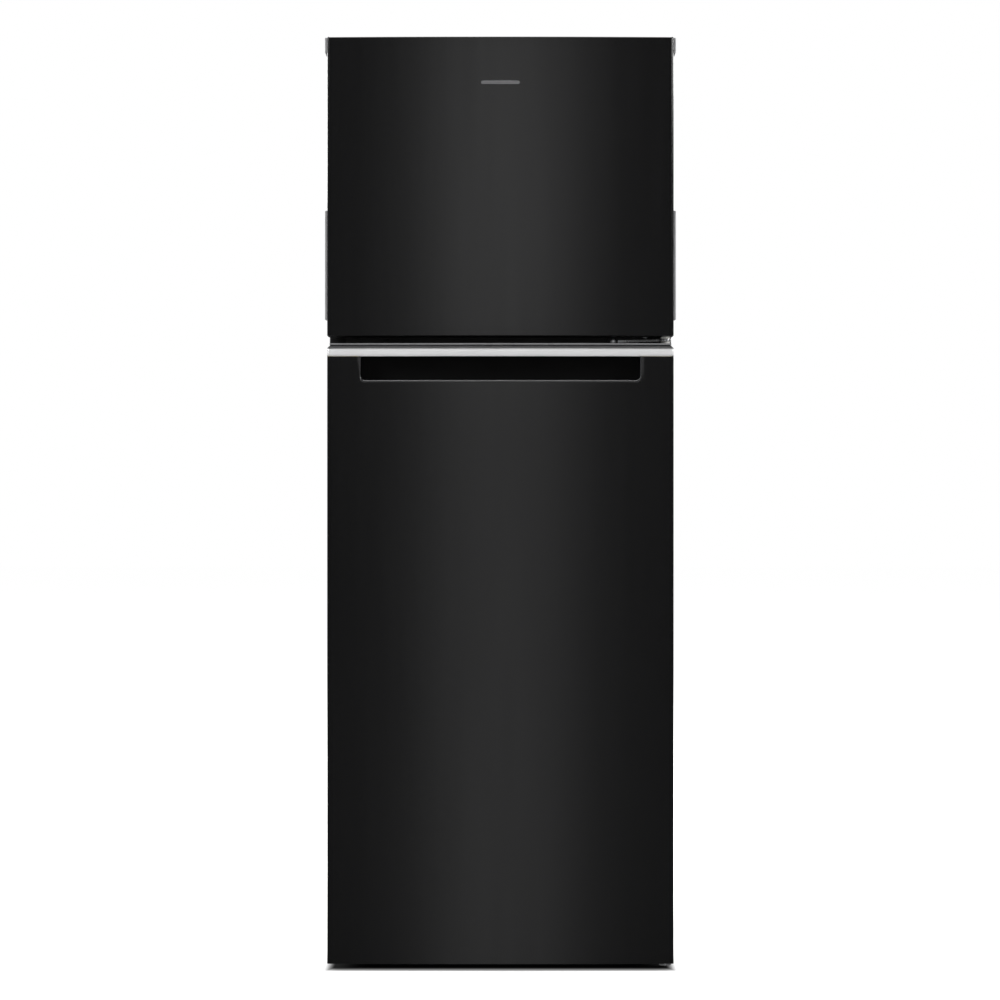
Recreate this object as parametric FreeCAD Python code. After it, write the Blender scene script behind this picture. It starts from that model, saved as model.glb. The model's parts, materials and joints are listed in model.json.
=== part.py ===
# Free-standing top-freezer refrigerator with two doors hinged on the right.
# Frame: +Z up, the doors face -Y, the hinges are on the +X side, and the origin
# is on the floor under the middle of the overall box. Millimetres.
import FreeCAD, Part
import math
import os

V = FreeCAD.Vector
os.makedirs("parts", exist_ok=True)

# Driving dimensions: cabinet
cabinet_width = 590.0
cabinet_depth = 586.0  # front flange to rear panel
rear_space = 44.0  # condenser and its wall spacers behind the rear panel
base_height = 30.0  # floor to the underside of the cabinet
roof_drop = 14.0  # cabinet roof below the top of the upper door
sheet = 1.0  # steel of wrapper, rear panel and base pan
hem = 2.0  # folded front flange, two layers of sheet
flange_width = 28.0
liner_wall = 2.0
liner_radius = 18.0  # inner corners of both liners
side_foam = 54.0
back_foam = 61.0
top_foam = 54.0
bottom_foam = 54.0
mullion_half = 33.0  # half thickness of the wall between the two compartments
bay_height = 196.0  # compressor bay
bay_depth = 180.0
bay_foam = 50.0

# Driving dimensions: doors
door_overhang = 1.0  # door wider than the cabinet on each side
door_thickness = 62.0
door_crown = 5.5  # rise of the curved front over its edges
door_corner = 5.0
seal_gap = 8.0  # door back to cabinet front
floor_gap = 12.0  # under the lower door
lower_door_height = 1059.5
door_gap = 12.8  # between the two doors
upper_door_height = 509.7
skin = 1.0
cap_plate = 4.0
flange_rise = 0.6  # handle cup's rim in front of the door's skin
ear_height = 25.0  # upper door's top cap
ear_rise = 4.0  # cap ears and grips stand this far out of the door's sides
trim_thickness = 3.0
trim_bottom = 22.5  # below the lower door's top
trim_height = 13.8
lip_height = 2.5
lip_inset = 4.0
bevel_inset = 6.0
pocket_half = 238.7
pocket_height = 42.0
pocket_depth = 36.0
pocket_radius = 7.5
pocket_reach = 9.0  # finger room behind the trim
cup_wall = 2.0
rim_width = 2.0
grip_bottom = 27.0  # above the upper door's lower edge
grip_height = 187.0
grip_depth = 34.0
dyke_half = 224.0
dyke_width = 18.0
dyke_rise = 45.0
gasket_width = 14.0
gasket_edge = 19.0  # cabinet side to the gasket's outer edge

# Driving dimensions: hinges
axis_edge = 13.0  # door side to hinge axis
axis_back = 24.0  # door back to hinge axis
pin_radius = 5.0
bush_radius = 8.0
bush_length = 18.0
boss_radius = 11.0
arm_half = 10.0
hinge_plate = 4.0
top_plate = 3.0
leg_half = 14.0
recess_depth = 8.0
screw_head = 5.0
screw_head_height = 2.5
screw_shank = 2.2
screw_length = 14.0
boss_floor = 2.0  # end wall of a boss past its bush
pin_end_room = 4.0  # pin past the end of its bush
top_reach = 56.0  # hinge axis to the far side of the top hinge's foot
middle_reach = 98.0  # hinge axis to the far end of the middle hinge's leg
bottom_reach = 44.0
hinge_foot = 80.0  # cabinet front to the rear edge of the top hinge's foot
top_setback = 5.0  # cabinet front to the top hinge's riser
# Screws as (in from the axis, back from the cabinet front), in the middle (in, up from the plate)
top_places = ((44.0, 66.0), (14.0, 48.0), (30.0, 26.0))
middle_places = ((88.0, 0.0), (33.0, 9.0), (33.0, -9.0))
bottom_places = ((32.0, 18.0), (32.0, 52.0))

# Clearances and fits
running = 0.06  # radial, pins and shafts
seat = 0.3  # pieces that rest or slide on each other
seal_clearance = 0.3
glue_line = 0.15  # between curved faces that are bonded

# Driving dimensions: inside
shelf_glass = 4.0
shelf_gap = 10.0  # glass edge to liner wall
shelf_setback = 130.0  # shelf front behind the cabinet front
rail_height = 6.0
rail_width = 14.0
shelf_levels = (520.0, 770.0)
freezer_shelf_rise = 190.0
crisper_side_room = 23.0  # liner wall to the drawer, with the wings and ledges between
crisper_depth = 212.0
crisper_height = 178.0
crisper_wall = 2.5
bin_wall = 2.0
bin_depth = 95.0
bin_gap = 0.6  # bin end to dyke

# Derived places
overall_depth = door_thickness + seal_gap + cabinet_depth + rear_space
front_y = -overall_depth / 2
face_y = front_y + flange_rise
door_back = front_y + door_thickness
cab_front = door_back + seal_gap
cab_rear = cab_front + cabinet_depth
half_cab = cabinet_width / 2
half_door = half_cab + door_overhang
crown_radius = (half_door ** 2 + door_crown ** 2) / (2 * door_crown)
lower_top = floor_gap + lower_door_height
upper_bottom = lower_top + door_gap
upper_top = upper_bottom + upper_door_height
mid_z = lower_top + door_gap / 2
roof = upper_top - roof_drop
foam_front = cab_front + hem
foam_rear = cab_rear - sheet
foam_side = half_cab - sheet
liner_x = foam_side - side_foam
clear_x = liner_x - liner_wall
crisper_half = clear_x - crisper_side_room
liner_back = foam_rear - back_foam
clear_back = liner_back - liner_wall
mullion_low = mid_z - mullion_half
mullion_high = mid_z + mullion_half
ceiling = roof - sheet - top_foam
floor_z = base_height + sheet + bottom_foam
bay_ceiling = base_height + bay_height
bay_front = cab_rear - bay_depth
step_y = bay_front - sheet - bay_foam
step_z = bay_ceiling + sheet + bay_foam + 4.0
rail_half = mullion_half - 4.0
flange_x = half_cab - flange_width
bottom_rail_top = base_height + 42.0
axis_x = half_door - axis_edge
axis_y = door_back - axis_back
trim_z0 = lower_top - trim_bottom
trim_z1 = trim_z0 + trim_height
side_cut_y = face_y + door_crown + door_corner + 2.0


def block(x0, x1, y0, y1, z0, z1):
    return Part.makeBox(x1 - x0, y1 - y0, z1 - z0, V(x0, y0, z0))


def rod(radius, start, direction, length):
    return Part.makeCylinder(radius, length, start, direction)


def tube(outer, inner, start, direction, length):
    return rod(outer, start, direction, length).cut(rod(inner, start, direction, length))


def mirrored(shape):
    return shape.mirror(V(0, 0, 0), V(1, 0, 0))


def both_sides(shape):
    return [shape, mirrored(shape)]


def fuse_all(shapes):
    result = shapes[0].fuse(shapes[1:])
    return result.removeSplitter()


def save(name, shapes):
    """Write one node; shapes is a shape or a list, each solid stays separate."""
    if not isinstance(shapes, (list, tuple)):
        shapes = [shapes]
    solids = [solid for shape in shapes for solid in shape.Solids]
    for solid in solids:
        if not solid.isValid():
            print("INVALID solid in", name)
    whole = solids[0] if len(solids) == 1 else Part.makeCompound(solids)
    whole.exportStep("parts/" + name + ".step")
    print(name, len(solids), round(whole.Volume))
    return solids


def round_edges(shape, radius, wanted):
    edges = [edge for edge in shape.Edges if wanted(edge)]
    return shape.makeFillet(radius, edges)


def along(edge, axis):
    """True where a straight edge runs along axis (0, 1 or 2)."""
    a, b = edge.Vertexes[0].Point, edge.Vertexes[-1].Point
    deltas = [abs(b[i] - a[i]) for i in range(3)]
    return deltas[axis] > 1e-6 and sum(deltas) - deltas[axis] < 1e-6


def extruded(points, start, direction):
    """Prism of a closed polygon of (y, z) points from x = start."""
    corners = [V(start, y, z) for y, z in points]
    return Part.Face(Part.makePolygon(corners + corners[:1])).extrude(direction)


def pipe(points, bend, radius):
    """Round pipe through corner points, with a tangent arc of radius bend at each inner corner."""
    edges = []
    last = points[0]
    for before, corner, after in zip(points, points[1:], points[2:]):
        back = (before - corner).normalize()
        ahead = (after - corner).normalize()
        half_turn = (math.pi - back.getAngle(ahead)) / 2
        reach = bend * math.tan(half_turn)
        first = corner + back * reach
        second = corner + ahead * reach
        middle_way = (back + ahead).normalize()
        middle = corner + middle_way * (bend / math.cos(half_turn) - bend)
        edges.append(Part.LineSegment(last, first).toShape())
        edges.append(Part.Arc(first, middle, second).toShape())
        last = second
    edges.append(Part.LineSegment(last, points[-1]).toShape())
    path = Part.Wire(edges)
    ring = Part.Wire(Part.makeCircle(radius, points[0], (points[1] - points[0]).normalize()))
    return path.makePipeShell([ring], True, True)


def serpentine(half, y, levels, radius):
    """Tube that runs to and fro along X through the given heights, starting at -half."""
    edges = []
    side = -half
    for number, z in enumerate(levels):
        edges.append(Part.LineSegment(V(side, y, z), V(-side, y, z)).toShape())
        side = -side
        if number + 1 < len(levels):
            rise = (levels[number + 1] - z) / 2
            bulge = side + math.copysign(rise, side)
            upper = V(side, y, z + 2 * rise)
            edges.append(Part.Arc(V(side, y, z), V(bulge, y, z + rise), upper).toShape())
    ring = Part.Wire(Part.makeCircle(radius, V(-half, y, levels[0]), V(1, 0, 0)))
    return Part.Wire(edges).makePipeShell([ring], True, True)


def screw(head_at, inward):
    """Pan head screw: head_at is the seat of the head, inward the way its shank goes."""
    head = rod(screw_head, head_at, inward * -1, screw_head_height)
    shank = rod(screw_shank, head_at, inward, screw_length)
    return head.fuse(shank)


def door_block(z0, z1, inset=0.0, back=None):
    """Door outline with its crowned front, drawn in by inset on the front and both sides."""
    back = door_back if back is None else back
    half = half_door - inset
    radius = crown_radius - inset
    centre = face_y + crown_radius
    corner_y = centre - math.sqrt(radius ** 2 - half ** 2)
    a, b = V(-half, back, z0), V(-half, corner_y, z0)
    c, d = V(half, corner_y, z0), V(half, back, z0)
    apex = V(0, centre - radius, z0)
    edges = [
        Part.LineSegment(a, b).toShape(),
        Part.Arc(b, apex, c).toShape(),
        Part.LineSegment(c, d).toShape(),
        Part.LineSegment(d, a).toShape(),
    ]
    solid = Part.Face(Part.Wire(edges)).extrude(V(0, 0, z1 - z0))
    rounding = door_corner - inset
    if rounding < 0.3:
        return solid
    front = [e for e in solid.Edges if along(e, 2) and abs(e.Vertexes[0].Point.y - corner_y) < 0.01]
    return solid.makeFillet(rounding, front)


def door_shell(z0, z1, thickness):
    """Front and side walls of a door, open at the back, top and bottom."""
    inner = door_block(z0 - 1, z1 + 1, thickness, door_back + 1)
    return door_block(z0, z1).cut(inner)


# Fasteners and hinge hardware, placed first because other pieces are cut for them
up, down = V(0, 0, 1), V(0, 0, -1)
plate_z0 = mid_z - hinge_plate / 2
plate_z1 = mid_z + hinge_plate / 2
leg_y = cab_front - top_plate
arm_z0 = upper_top - recess_depth + 2.0
lower_plate_z1 = floor_gap - 3.0
lower_plate_z0 = lower_plate_z1 - hinge_plate
bracket_z0 = base_height - hinge_plate
leg_x0 = axis_x - middle_reach
top_hinge_x0 = axis_x - top_reach
hinge_back = cab_front + hinge_foot
riser_y = cab_front + top_setback
boss_length = bush_length + boss_floor
pin_reach = bush_length + pin_end_room
pin_room = pin_radius + 1.0  # free way for a pin beyond its bush

top_screws = [screw(V(axis_x - x, cab_front + y, roof + top_plate), down) for x, y in top_places]
middle_screws = [screw(V(axis_x - x, leg_y, mid_z + z), V(0, 1, 0)) for x, z in middle_places]
bottom_screws = [screw(V(axis_x - x, cab_front + y, bracket_z0), up) for x, y in bottom_places]
hinge_screws = top_screws + middle_screws + bottom_screws


def hinge_arm(z0, thickness, y_end):
    """Arm from y_end forward to the hinge axis, rounded about the axis, bored for its pin."""
    bar = block(axis_x - arm_half, axis_x + arm_half, axis_y, y_end, z0, z0 + thickness)
    eye = rod(arm_half, V(axis_x, axis_y, z0), up, thickness)
    return bar.fuse(eye).cut(rod(pin_radius, V(axis_x, axis_y, z0), up, thickness))


def top_hinge():
    plate = block(top_hinge_x0, axis_x + arm_half, riser_y, hinge_back, roof, roof + top_plate)
    riser_back = riser_y + top_plate
    riser = block(axis_x - arm_half, axis_x + arm_half, riser_y, riser_back, roof, arm_z0 + top_plate)
    arm = hinge_arm(arm_z0, top_plate, riser_y)
    return fuse_all([plate, riser, arm]).cut(top_screws)


wing_start = 18.0  # from the leg's far end to where its plate begins


def middle_hinge():
    leg = block(leg_x0, axis_x + arm_half, leg_y, cab_front, mid_z - leg_half, mid_z + leg_half)
    slope = [V(leg_x0 + wing_start, leg_y, plate_z0), V(axis_x + arm_half, leg_y, plate_z0)]
    slope += [V(axis_x + arm_half, axis_y, plate_z0), V(axis_x - arm_half, axis_y, plate_z0)]
    wing = Part.Face(Part.makePolygon(slope + slope[:1])).extrude(V(0, 0, hinge_plate))
    eye = rod(arm_half, V(axis_x, axis_y, plate_z0), up, hinge_plate)
    bore = rod(pin_radius, V(axis_x, axis_y, plate_z0), up, hinge_plate)
    return fuse_all([leg, wing, eye]).cut([bore] + middle_screws)


def bottom_hinge():
    right = axis_x + arm_half
    plate = block(axis_x - bottom_reach, right, leg_y, hinge_back - arm_half, bracket_z0, base_height)
    web = block(axis_x - bottom_reach / 2, right, leg_y, cab_front, lower_plate_z0, base_height)
    arm = hinge_arm(lower_plate_z0, hinge_plate, leg_y)
    return fuse_all([plate, web, arm]).cut(bottom_screws)


def hinge_pins():
    top_pin = rod(pin_radius, V(axis_x, axis_y, arm_z0 + top_plate), down, top_plate + pin_reach)
    middle_start = V(axis_x, axis_y, plate_z0 - pin_reach)
    middle_pin = rod(pin_radius, middle_start, up, hinge_plate + 2 * pin_reach)
    bottom_pin = rod(pin_radius, V(axis_x, axis_y, lower_plate_z0), up, hinge_plate + pin_reach)
    return [top_pin, middle_pin, bottom_pin]


def bush(z, direction):
    return tube(bush_radius, pin_radius + running, V(axis_x, axis_y, z), direction, bush_length)


# Feet and their sockets
foot_inset = 17.0  # foot inward of the side insulation
foot_x = liner_x - foot_inset
foot_y = cab_front + 34.0
foot_pad = 18.0
foot_pad_height = 9.0
foot_rounding = 1.5
foot_nut = 9.0
foot_nut_height = 6.0
stem_radius = 5.0
stem_top = base_height + 26.0
socket_radius = 8.0
socket_top = stem_top + 3.0


def foot(side):
    pad = rod(foot_pad, V(side * foot_x, foot_y, 0), up, foot_pad_height)
    pad = round_edges(pad, foot_rounding, lambda edge: edge.Length > foot_pad)
    nut = rod(foot_nut, V(side * foot_x, foot_y, foot_pad_height), up, foot_nut_height)
    nut_top = foot_pad_height + foot_nut_height
    stem = rod(stem_radius, V(side * foot_x, foot_y, nut_top), up, stem_top - nut_top)
    return fuse_all([pad, nut, stem])


def foot_sockets():
    """Threaded sockets welded into the base pan for the feet's stems."""
    start = V(foot_x, foot_y, base_height)
    return both_sides(rod(socket_radius, start, up, socket_top - base_height))


def foot_bores():
    start = V(foot_x, foot_y, base_height)
    return both_sides(rod(stem_radius + running, start, up, socket_top - base_height))


# Condenser and refrigerant lines
coil_y = cab_rear + 22.0
coil_radius = 2.4
coil_half = half_cab - 70.0
coil_rows = 16
coil_low = bay_ceiling + 104.0
coil_high = roof - 260.0
coil_bend = (coil_high - coil_low) / (coil_rows - 1) / 2
coil_levels = [coil_low + (coil_high - coil_low) * i / (coil_rows - 1) for i in range(coil_rows)]
compressor_x = -90.0
compressor_y = (bay_front + cab_rear) / 2
compressor_radius = 70.0
compressor_low = base_height + 22.0
compressor_height = 138.0
compressor_dome = 26.0
band_rise = 2.0  # weld band round the shell
base_half_x = 96.0
base_half_y = 60.0
base_sheet = 3.0
grommet_radius = 11.0
grommet_height = 14.0
grommet_x = 80.0  # from the compressor's middle
grommet_y = 46.0
bolt_radius = 4.0
tray_sheet = 2.0
tray_lip = 14.0
port_z = compressor_low + 96.0
line_radius = 3.2
capillary_radius = 1.2
line_bend = 12.0
line_x = coil_half + 16.0
return_gap = 11.0  # condenser bends to the return line
return_x = coil_half + coil_bend + return_gap
drier_radius = 9.0
drier_z0 = base_height + 64.0
drier_z1 = drier_z0 + 90.0
suction_x = 46.0
capillary_x = 62.0
entry_z = bay_ceiling + 36.0
entry_depth = 6.0
drain_x = 150.0
drain_radius = 7.0
drain_wall = 1.5
drain_bend = 20.0
drain_y = liner_back - 22.0  # under the evaporator
drain_back = foam_rear - 24.0  # down inside the rear foam


def copper_tubing():
    port = compressor_radius - 1.0
    start = V(compressor_x - port, compressor_y, port_z)
    discharge = [start, V(-line_x, compressor_y, port_z), V(-line_x, coil_y, port_z)]
    discharge += [V(-line_x, coil_y, coil_low), V(-coil_half, coil_y, coil_low)]
    liquid = [V(-coil_half, coil_y, coil_levels[-1]), V(-return_x, coil_y, coil_levels[-1])]
    liquid += [V(-return_x, coil_y, drier_z1)]
    suction = [V(compressor_x + port, compressor_y, port_z), V(suction_x, compressor_y, port_z)]
    suction += [V(suction_x, coil_y, port_z), V(suction_x, coil_y, entry_z)]
    suction += [V(suction_x, foam_rear - entry_depth, entry_z)]
    low = base_height + 20.0
    capillary = [V(-return_x, coil_y, drier_z0), V(-return_x, coil_y, low), V(capillary_x, coil_y, low)]
    capillary += [V(capillary_x, coil_y, entry_z), V(capillary_x, foam_rear - entry_depth, entry_z)]
    lines = [pipe(route, line_bend, coil_radius) for route in (discharge, liquid)]
    lines.append(pipe(suction, line_bend, line_radius))
    lines.append(pipe(capillary, 8.0, capillary_radius))
    return lines


def line_entries():
    """Holes where the suction line and the capillary go through the rear panel."""
    begin = foam_rear - entry_depth
    ways = ((suction_x, line_radius), (capillary_x, capillary_radius))
    return [rod(radius, V(x, begin, entry_z), V(0, 1, 0), entry_depth + sheet) for x, radius in ways]


def drain_route():
    points = [V(drain_x, drain_y, mullion_high), V(drain_x, drain_y, mid_z + 2.0)]
    points += [V(drain_x, drain_back, mid_z - 52.0), V(drain_x, drain_back, base_height + 92.0)]
    return points


def drain_tube():
    bore = pipe(drain_route(), drain_bend, drain_radius - drain_wall)
    return pipe(drain_route(), drain_bend, drain_radius).cut(bore)


# Cabinet
def outer_wrapper():
    outside = block(-half_cab, half_cab, cab_front, cab_rear, base_height, roof)
    inside = block(-foam_side, foam_side, cab_front - 1, cab_rear + 1, base_height - 1, roof - sheet)
    flange = block(-half_cab, half_cab, cab_front, foam_front, base_height, roof)
    opening = block(-flange_x, flange_x, cab_front - 1, foam_front + 1, base_height - 1, roof - flange_width)
    return fuse_all([outside.cut(inside), flange.cut(opening)]).cut(top_screws)


def base_pan():
    x0, length = -foam_side, V(2 * foam_side, 0, 0)
    low, high = base_height, bay_ceiling
    points = [(foam_front, low), (bay_front, low), (bay_front, high), (foam_rear, high)]
    points += [(foam_rear, high + sheet), (bay_front - sheet, high + sheet)]
    points += [(bay_front - sheet, low + sheet), (foam_front, low + sheet)]
    pan = fuse_all([extruded(points, x0, length)] + foot_sockets())
    drain_hole = rod(drain_radius, V(drain_x, drain_back, high), up, sheet)
    return pan.cut(foot_bores() + bottom_screws + [drain_hole])


def insulation():
    low = base_height + sheet
    above_bay = bay_ceiling + sheet
    slabs = [
        block(liner_x, foam_side, foam_front, bay_front - sheet, low, roof - sheet),
        block(liner_x, foam_side, bay_front - sheet, foam_rear, above_bay, roof - sheet),
    ]
    slabs += [mirrored(slab) for slab in slabs]
    slabs += [
        block(-liner_x, liner_x, foam_front, foam_rear, ceiling, roof - sheet),
        block(-liner_x, liner_x, liner_back, foam_rear, mullion_high, ceiling),
        block(-liner_x, liner_x, foam_front, foam_rear, mullion_low, mullion_high),
        block(-liner_x, liner_x, liner_back, foam_rear, step_z, mullion_low),
        block(-liner_x, liner_x, foam_front, step_y, low, floor_z),
        block(-liner_x, liner_x, step_y, bay_front - sheet, low, step_z),
        block(-liner_x, liner_x, bay_front - sheet, foam_rear, above_bay, step_z),
    ]
    drain = pipe(drain_route(), drain_bend, drain_radius)
    holes = foot_sockets() + hinge_screws + line_entries() + [drain]
    return [slab.cut(holes) for slab in slabs]


def liner_flange(z0, z1):
    return block(-flange_x, flange_x, cab_front, foam_front, z0, z1)


def shelf_rail(z, y0, y1):
    """Two ledges on the side walls of a liner with their top at z."""
    ledge = block(clear_x - rail_width, clear_x, y0, y1, z - rail_height, z)
    return both_sides(ledge)


def freezer_liner():
    outside = block(-liner_x, liner_x, cab_front, liner_back, mullion_high, ceiling)
    z0, z1 = mullion_high + liner_wall, ceiling - liner_wall
    inside = block(-clear_x, clear_x, cab_front - 1, clear_back, z0, z1)
    inside = round_edges(inside, liner_radius, lambda edge: edge.BoundBox.YMax > clear_back - 1)
    flange = liner_flange(mid_z + rail_half, roof - flange_width)
    shell = fuse_all([outside, flange]).cut(inside)
    rails = shelf_rail(freezer_shelf_z, shelf_front, evaporator_y - 12.0)
    drain = rod(drain_radius, V(drain_x, drain_y, mullion_high), up, liner_wall)
    return fuse_all([shell] + rails).cut([drain])


def fridge_liner():
    points = [(cab_front, floor_z), (step_y, floor_z), (step_y, step_z), (liner_back, step_z)]
    points += [(liner_back, mullion_low), (cab_front, mullion_low)]
    outside = extruded(points, -liner_x, V(2 * liner_x, 0, 0))
    w = liner_wall
    step_top = step_z + w
    low = block(-clear_x, clear_x, cab_front - 1, step_y - w, floor_z + w, step_top + 2 * liner_radius)
    step_back = step_y - w - 1
    low = round_edges(low, liner_radius, lambda e: e.BoundBox.YMax > step_back and e.BoundBox.ZMin < step_top)
    high = block(-clear_x, clear_x, cab_front - 1, clear_back, step_top, mullion_low - w)
    high = round_edges(high, liner_radius, lambda e: e.BoundBox.YMax > clear_back - 1)
    inside = low.fuse(high)
    flange = liner_flange(bottom_rail_top, mid_z - rail_half)
    shell = fuse_all([outside, flange]).cut(inside)
    ledges = shelf_rail(drawer_rail_z, shelf_front, step_y - 14.0)
    ledges += shelf_rail(cover_z, shelf_front - 16.0, step_y - 14.0)
    for z in shelf_levels:
        ledges += shelf_rail(z, shelf_front, clear_back - 40.0)
    return fuse_all([shell] + ledges)


def rail(z0, z1, half):
    return block(-half, half, cab_front, foam_front, z0, z1).cut(hinge_screws)


def rear_panel():
    sheet_metal = block(-foam_side, foam_side, foam_rear, cab_rear, bay_ceiling, roof - sheet)
    return sheet_metal.cut(line_entries())


def hinge_cover():
    wall, play, rise = 1.5, 0.5, 6.0
    x0, x1 = top_hinge_x0 - rise, axis_x + arm_half + wall + play
    y0, y1 = cab_front + 1.0, hinge_back + 4.0
    top = upper_top + rise
    outside = block(x0, x1, y0, y1, roof, top)
    outside = round_edges(outside, 4.0, lambda edge: along(edge, 2))
    outside = round_edges(outside, 2.5, lambda edge: edge.BoundBox.ZMin > upper_top)
    inside = block(x0 + wall, x1 - wall, y0 + wall, y1 - wall, roof - 1, top - 2.0)
    arm_top = arm_z0 + top_plate + play
    way = block(axis_x - arm_half - play, x1 + 1, cab_front, riser_y - 1.0, roof - 1, arm_top)
    return outside.cut([inside, way])


# Compressor bay
tray_z = base_height
tray_top = tray_z + tray_sheet
tray_half = foam_side
roller_radius = 12.5
roller_width = 18.0
roller_x = half_cab - 48.0
roller_y = cab_rear - 30.0
axle_radius = 3.0
cheek = 2.5
fork_half = roller_width / 2 + 0.5  # inside half width of the roller's fork


def compressor_tray():
    x0, length = -tray_half, V(2 * tray_half, 0, 0)
    low, high = tray_z, tray_top
    y0, y1 = bay_front, cab_rear
    inner, lip_top = y1 - tray_sheet, low + tray_lip
    points = [(y0, low), (y1, low), (y1, lip_top), (inner, lip_top), (inner, high), (y0, high)]
    return extruded(points, x0, length)


def grommet_places():
    sides = (-1, 1)
    return [(compressor_x + i * grommet_x, compressor_y + j * grommet_y) for i in sides for j in sides]


def grommets():
    starts = [V(x, y, tray_top) for x, y in grommet_places()]
    return [tube(grommet_radius, bolt_radius, start, up, grommet_height) for start in starts]


def compressor():
    foot_centre = V(compressor_x, compressor_y, compressor_low)
    body = rod(compressor_radius, foot_centre, up, compressor_height)
    body = round_edges(body, compressor_dome, lambda edge: edge.Length > 4 * compressor_radius)
    band_height = 6.0
    band_start = foot_centre + V(0, 0, (compressor_height - band_height) / 2)
    band = rod(compressor_radius + band_rise, band_start, up, band_height)
    plate_z = tray_top + grommet_height
    x0, x1 = compressor_x - base_half_x, compressor_x + base_half_x
    y0, y1 = compressor_y - base_half_y, compressor_y + base_half_y
    plate = block(x0, x1, y0, y1, plate_z, plate_z + base_sheet)
    plate = round_edges(plate, 12.0, lambda edge: along(edge, 2))
    neck_radius = compressor_radius - compressor_dome - 4.0
    neck = rod(neck_radius, V(compressor_x, compressor_y, plate_z), up, compressor_low - plate_z + 4.0)
    whole = fuse_all([body, band, plate, neck])
    ports = []
    for side, radius in ((-1, coil_radius), (1, line_radius)):
        start = V(compressor_x + side * (compressor_radius - 1.0), compressor_y, port_z)
        ports.append(rod(radius, start, V(side, 0, 0), 6.0))
    holes = [rod(bolt_radius, V(x, y, plate_z), up, base_sheet) for x, y in grommet_places()]
    return whole.cut(ports + holes)


def terminal_cover():
    width, height = 50.0, 60.0
    x0 = compressor_x + 6.0
    z0 = compressor_low + 20.0
    y0 = bay_front + 5.0
    box = block(x0, x0 + width, y0, compressor_y - 40.0, z0, z0 + height)
    keep_radius = compressor_radius + band_rise + seat
    keep = rod(keep_radius, V(compressor_x, compressor_y, z0 - 1), up, height + 2.0)
    return round_edges(box.cut(keep), 3.0, lambda edge: edge.BoundBox.YMax < y0 + 1.0)


def drain_pan():
    wall, height, rounding = 2.0, 56.0, 8.0
    x0, x1 = drain_x - 55.0, drain_x + 75.0
    y0, y1 = bay_front + 12.0, cab_rear - 8.0
    outside = block(x0, x1, y0, y1, tray_top, tray_top + height)
    outside = round_edges(outside, rounding, lambda edge: along(edge, 2))
    inside = block(x0 + wall, x1 - wall, y0 + wall, y1 - wall, tray_top + wall, tray_top + height + 1.0)
    return outside.cut(round_edges(inside, rounding - wall, lambda edge: along(edge, 2)))


def roller_frame(side):
    x = side * roller_x
    outer = fork_half + cheek
    y0, y1 = roller_y - 12.0, roller_y + 12.0
    top = block(x - outer, x + outer, y0, y1, tray_z - cheek, tray_z)
    starts = (x + fork_half, x - outer)
    cheeks = [block(start, start + cheek, y0, y1, roller_radius - 6.0, tray_z) for start in starts]
    return fuse_all([top] + cheeks).cut([roller_axle(side)])


def roller_axle(side):
    outer = fork_half + cheek
    return rod(axle_radius, V(side * roller_x - outer, roller_y, roller_radius), V(1, 0, 0), 2 * outer)


def roller(side):
    start = V(side * roller_x - roller_width / 2, roller_y, roller_radius)
    wheel = rod(roller_radius, start, V(1, 0, 0), roller_width)
    wheel = round_edges(wheel, 1.0, lambda edge: edge.Length > 50)
    return wheel.cut(rod(axle_radius + running, start, V(1, 0, 0), roller_width))


def condenser_wires():
    half, strap, count = 0.8, 5.0, 30
    reach = coil_radius + half + 0.25
    low, high = coil_low - 18.0, coil_levels[-1] + 18.0
    first = 12.0 - coil_half
    step = -2 * first / (count - 1)
    combs = []
    for way in (-1, 1):
        y0, y1 = coil_y + way * reach - half, coil_y + way * reach + half
        places = [first + step * i for i in range(count)]
        wires = [block(x - half, x + half, y0, y1, low, high) for x in places]
        straps = [block(first - 6.0, 6.0 - first, y0, y1, z, z + strap) for z in (low, high - strap)]
        combs.append(fuse_all(straps + wires))
    return combs


def condenser_clips():
    half, rise = 3.6, 8.0
    clips = []
    for x in (4.0 - coil_half, coil_half - 4.0):
        for level in (coil_levels[1], coil_levels[-2]):
            body = block(x - half, x + half, cab_rear, cab_rear + rear_space, level - rise, level + rise)
            hold = rod(coil_radius, V(x - half, coil_y, level), V(1, 0, 0), 2 * half)
            clips.append(body.cut([hold]))
    return clips


def filter_drier():
    cone = 8.0
    body = rod(drier_radius, V(-return_x, coil_y, drier_z0 + cone), up, drier_z1 - drier_z0 - 2 * cone)
    low = Part.makeCone(capillary_radius + 1, drier_radius, cone, V(-return_x, coil_y, drier_z0), up)
    high = Part.makeCone(drier_radius, coil_radius + 1, cone, V(-return_x, coil_y, drier_z1 - cone), up)
    return fuse_all([body, low, high])


def power_inlet():
    x, half, bore = half_cab - 40.0, 17.0, 4.5
    z0 = tray_z + tray_lip
    y0, y1 = cab_rear - 6.0, cab_rear + tray_sheet
    base = block(x - half, x + half, y0, y1, z0, z0 + 2 * half)
    base = round_edges(base, 3.0, lambda edge: along(edge, 1))
    return base.cut(rod(bore, V(x, y0, z0 + half), V(0, 1, 0), y1 - y0))


# Inside places
shelf_front = cab_front + shelf_setback
evaporator_y = liner_back - 62.0  # front of the evaporator cover
evaporator_sheet = 2.5
freezer_floor = mullion_high + liner_wall
fridge_ceiling = mullion_low - liner_wall
freezer_shelf_z = freezer_floor + freezer_shelf_rise
crisper_z = floor_z + liner_wall + 4.0
crisper_rim = 4.0
drawer_rail_z = crisper_z + crisper_height - crisper_rim - seat
cover_z = crisper_z + crisper_height + 16.0
glass_half = clear_x - shelf_gap
trim_half = clear_x - rail_width - 1.0


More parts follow.
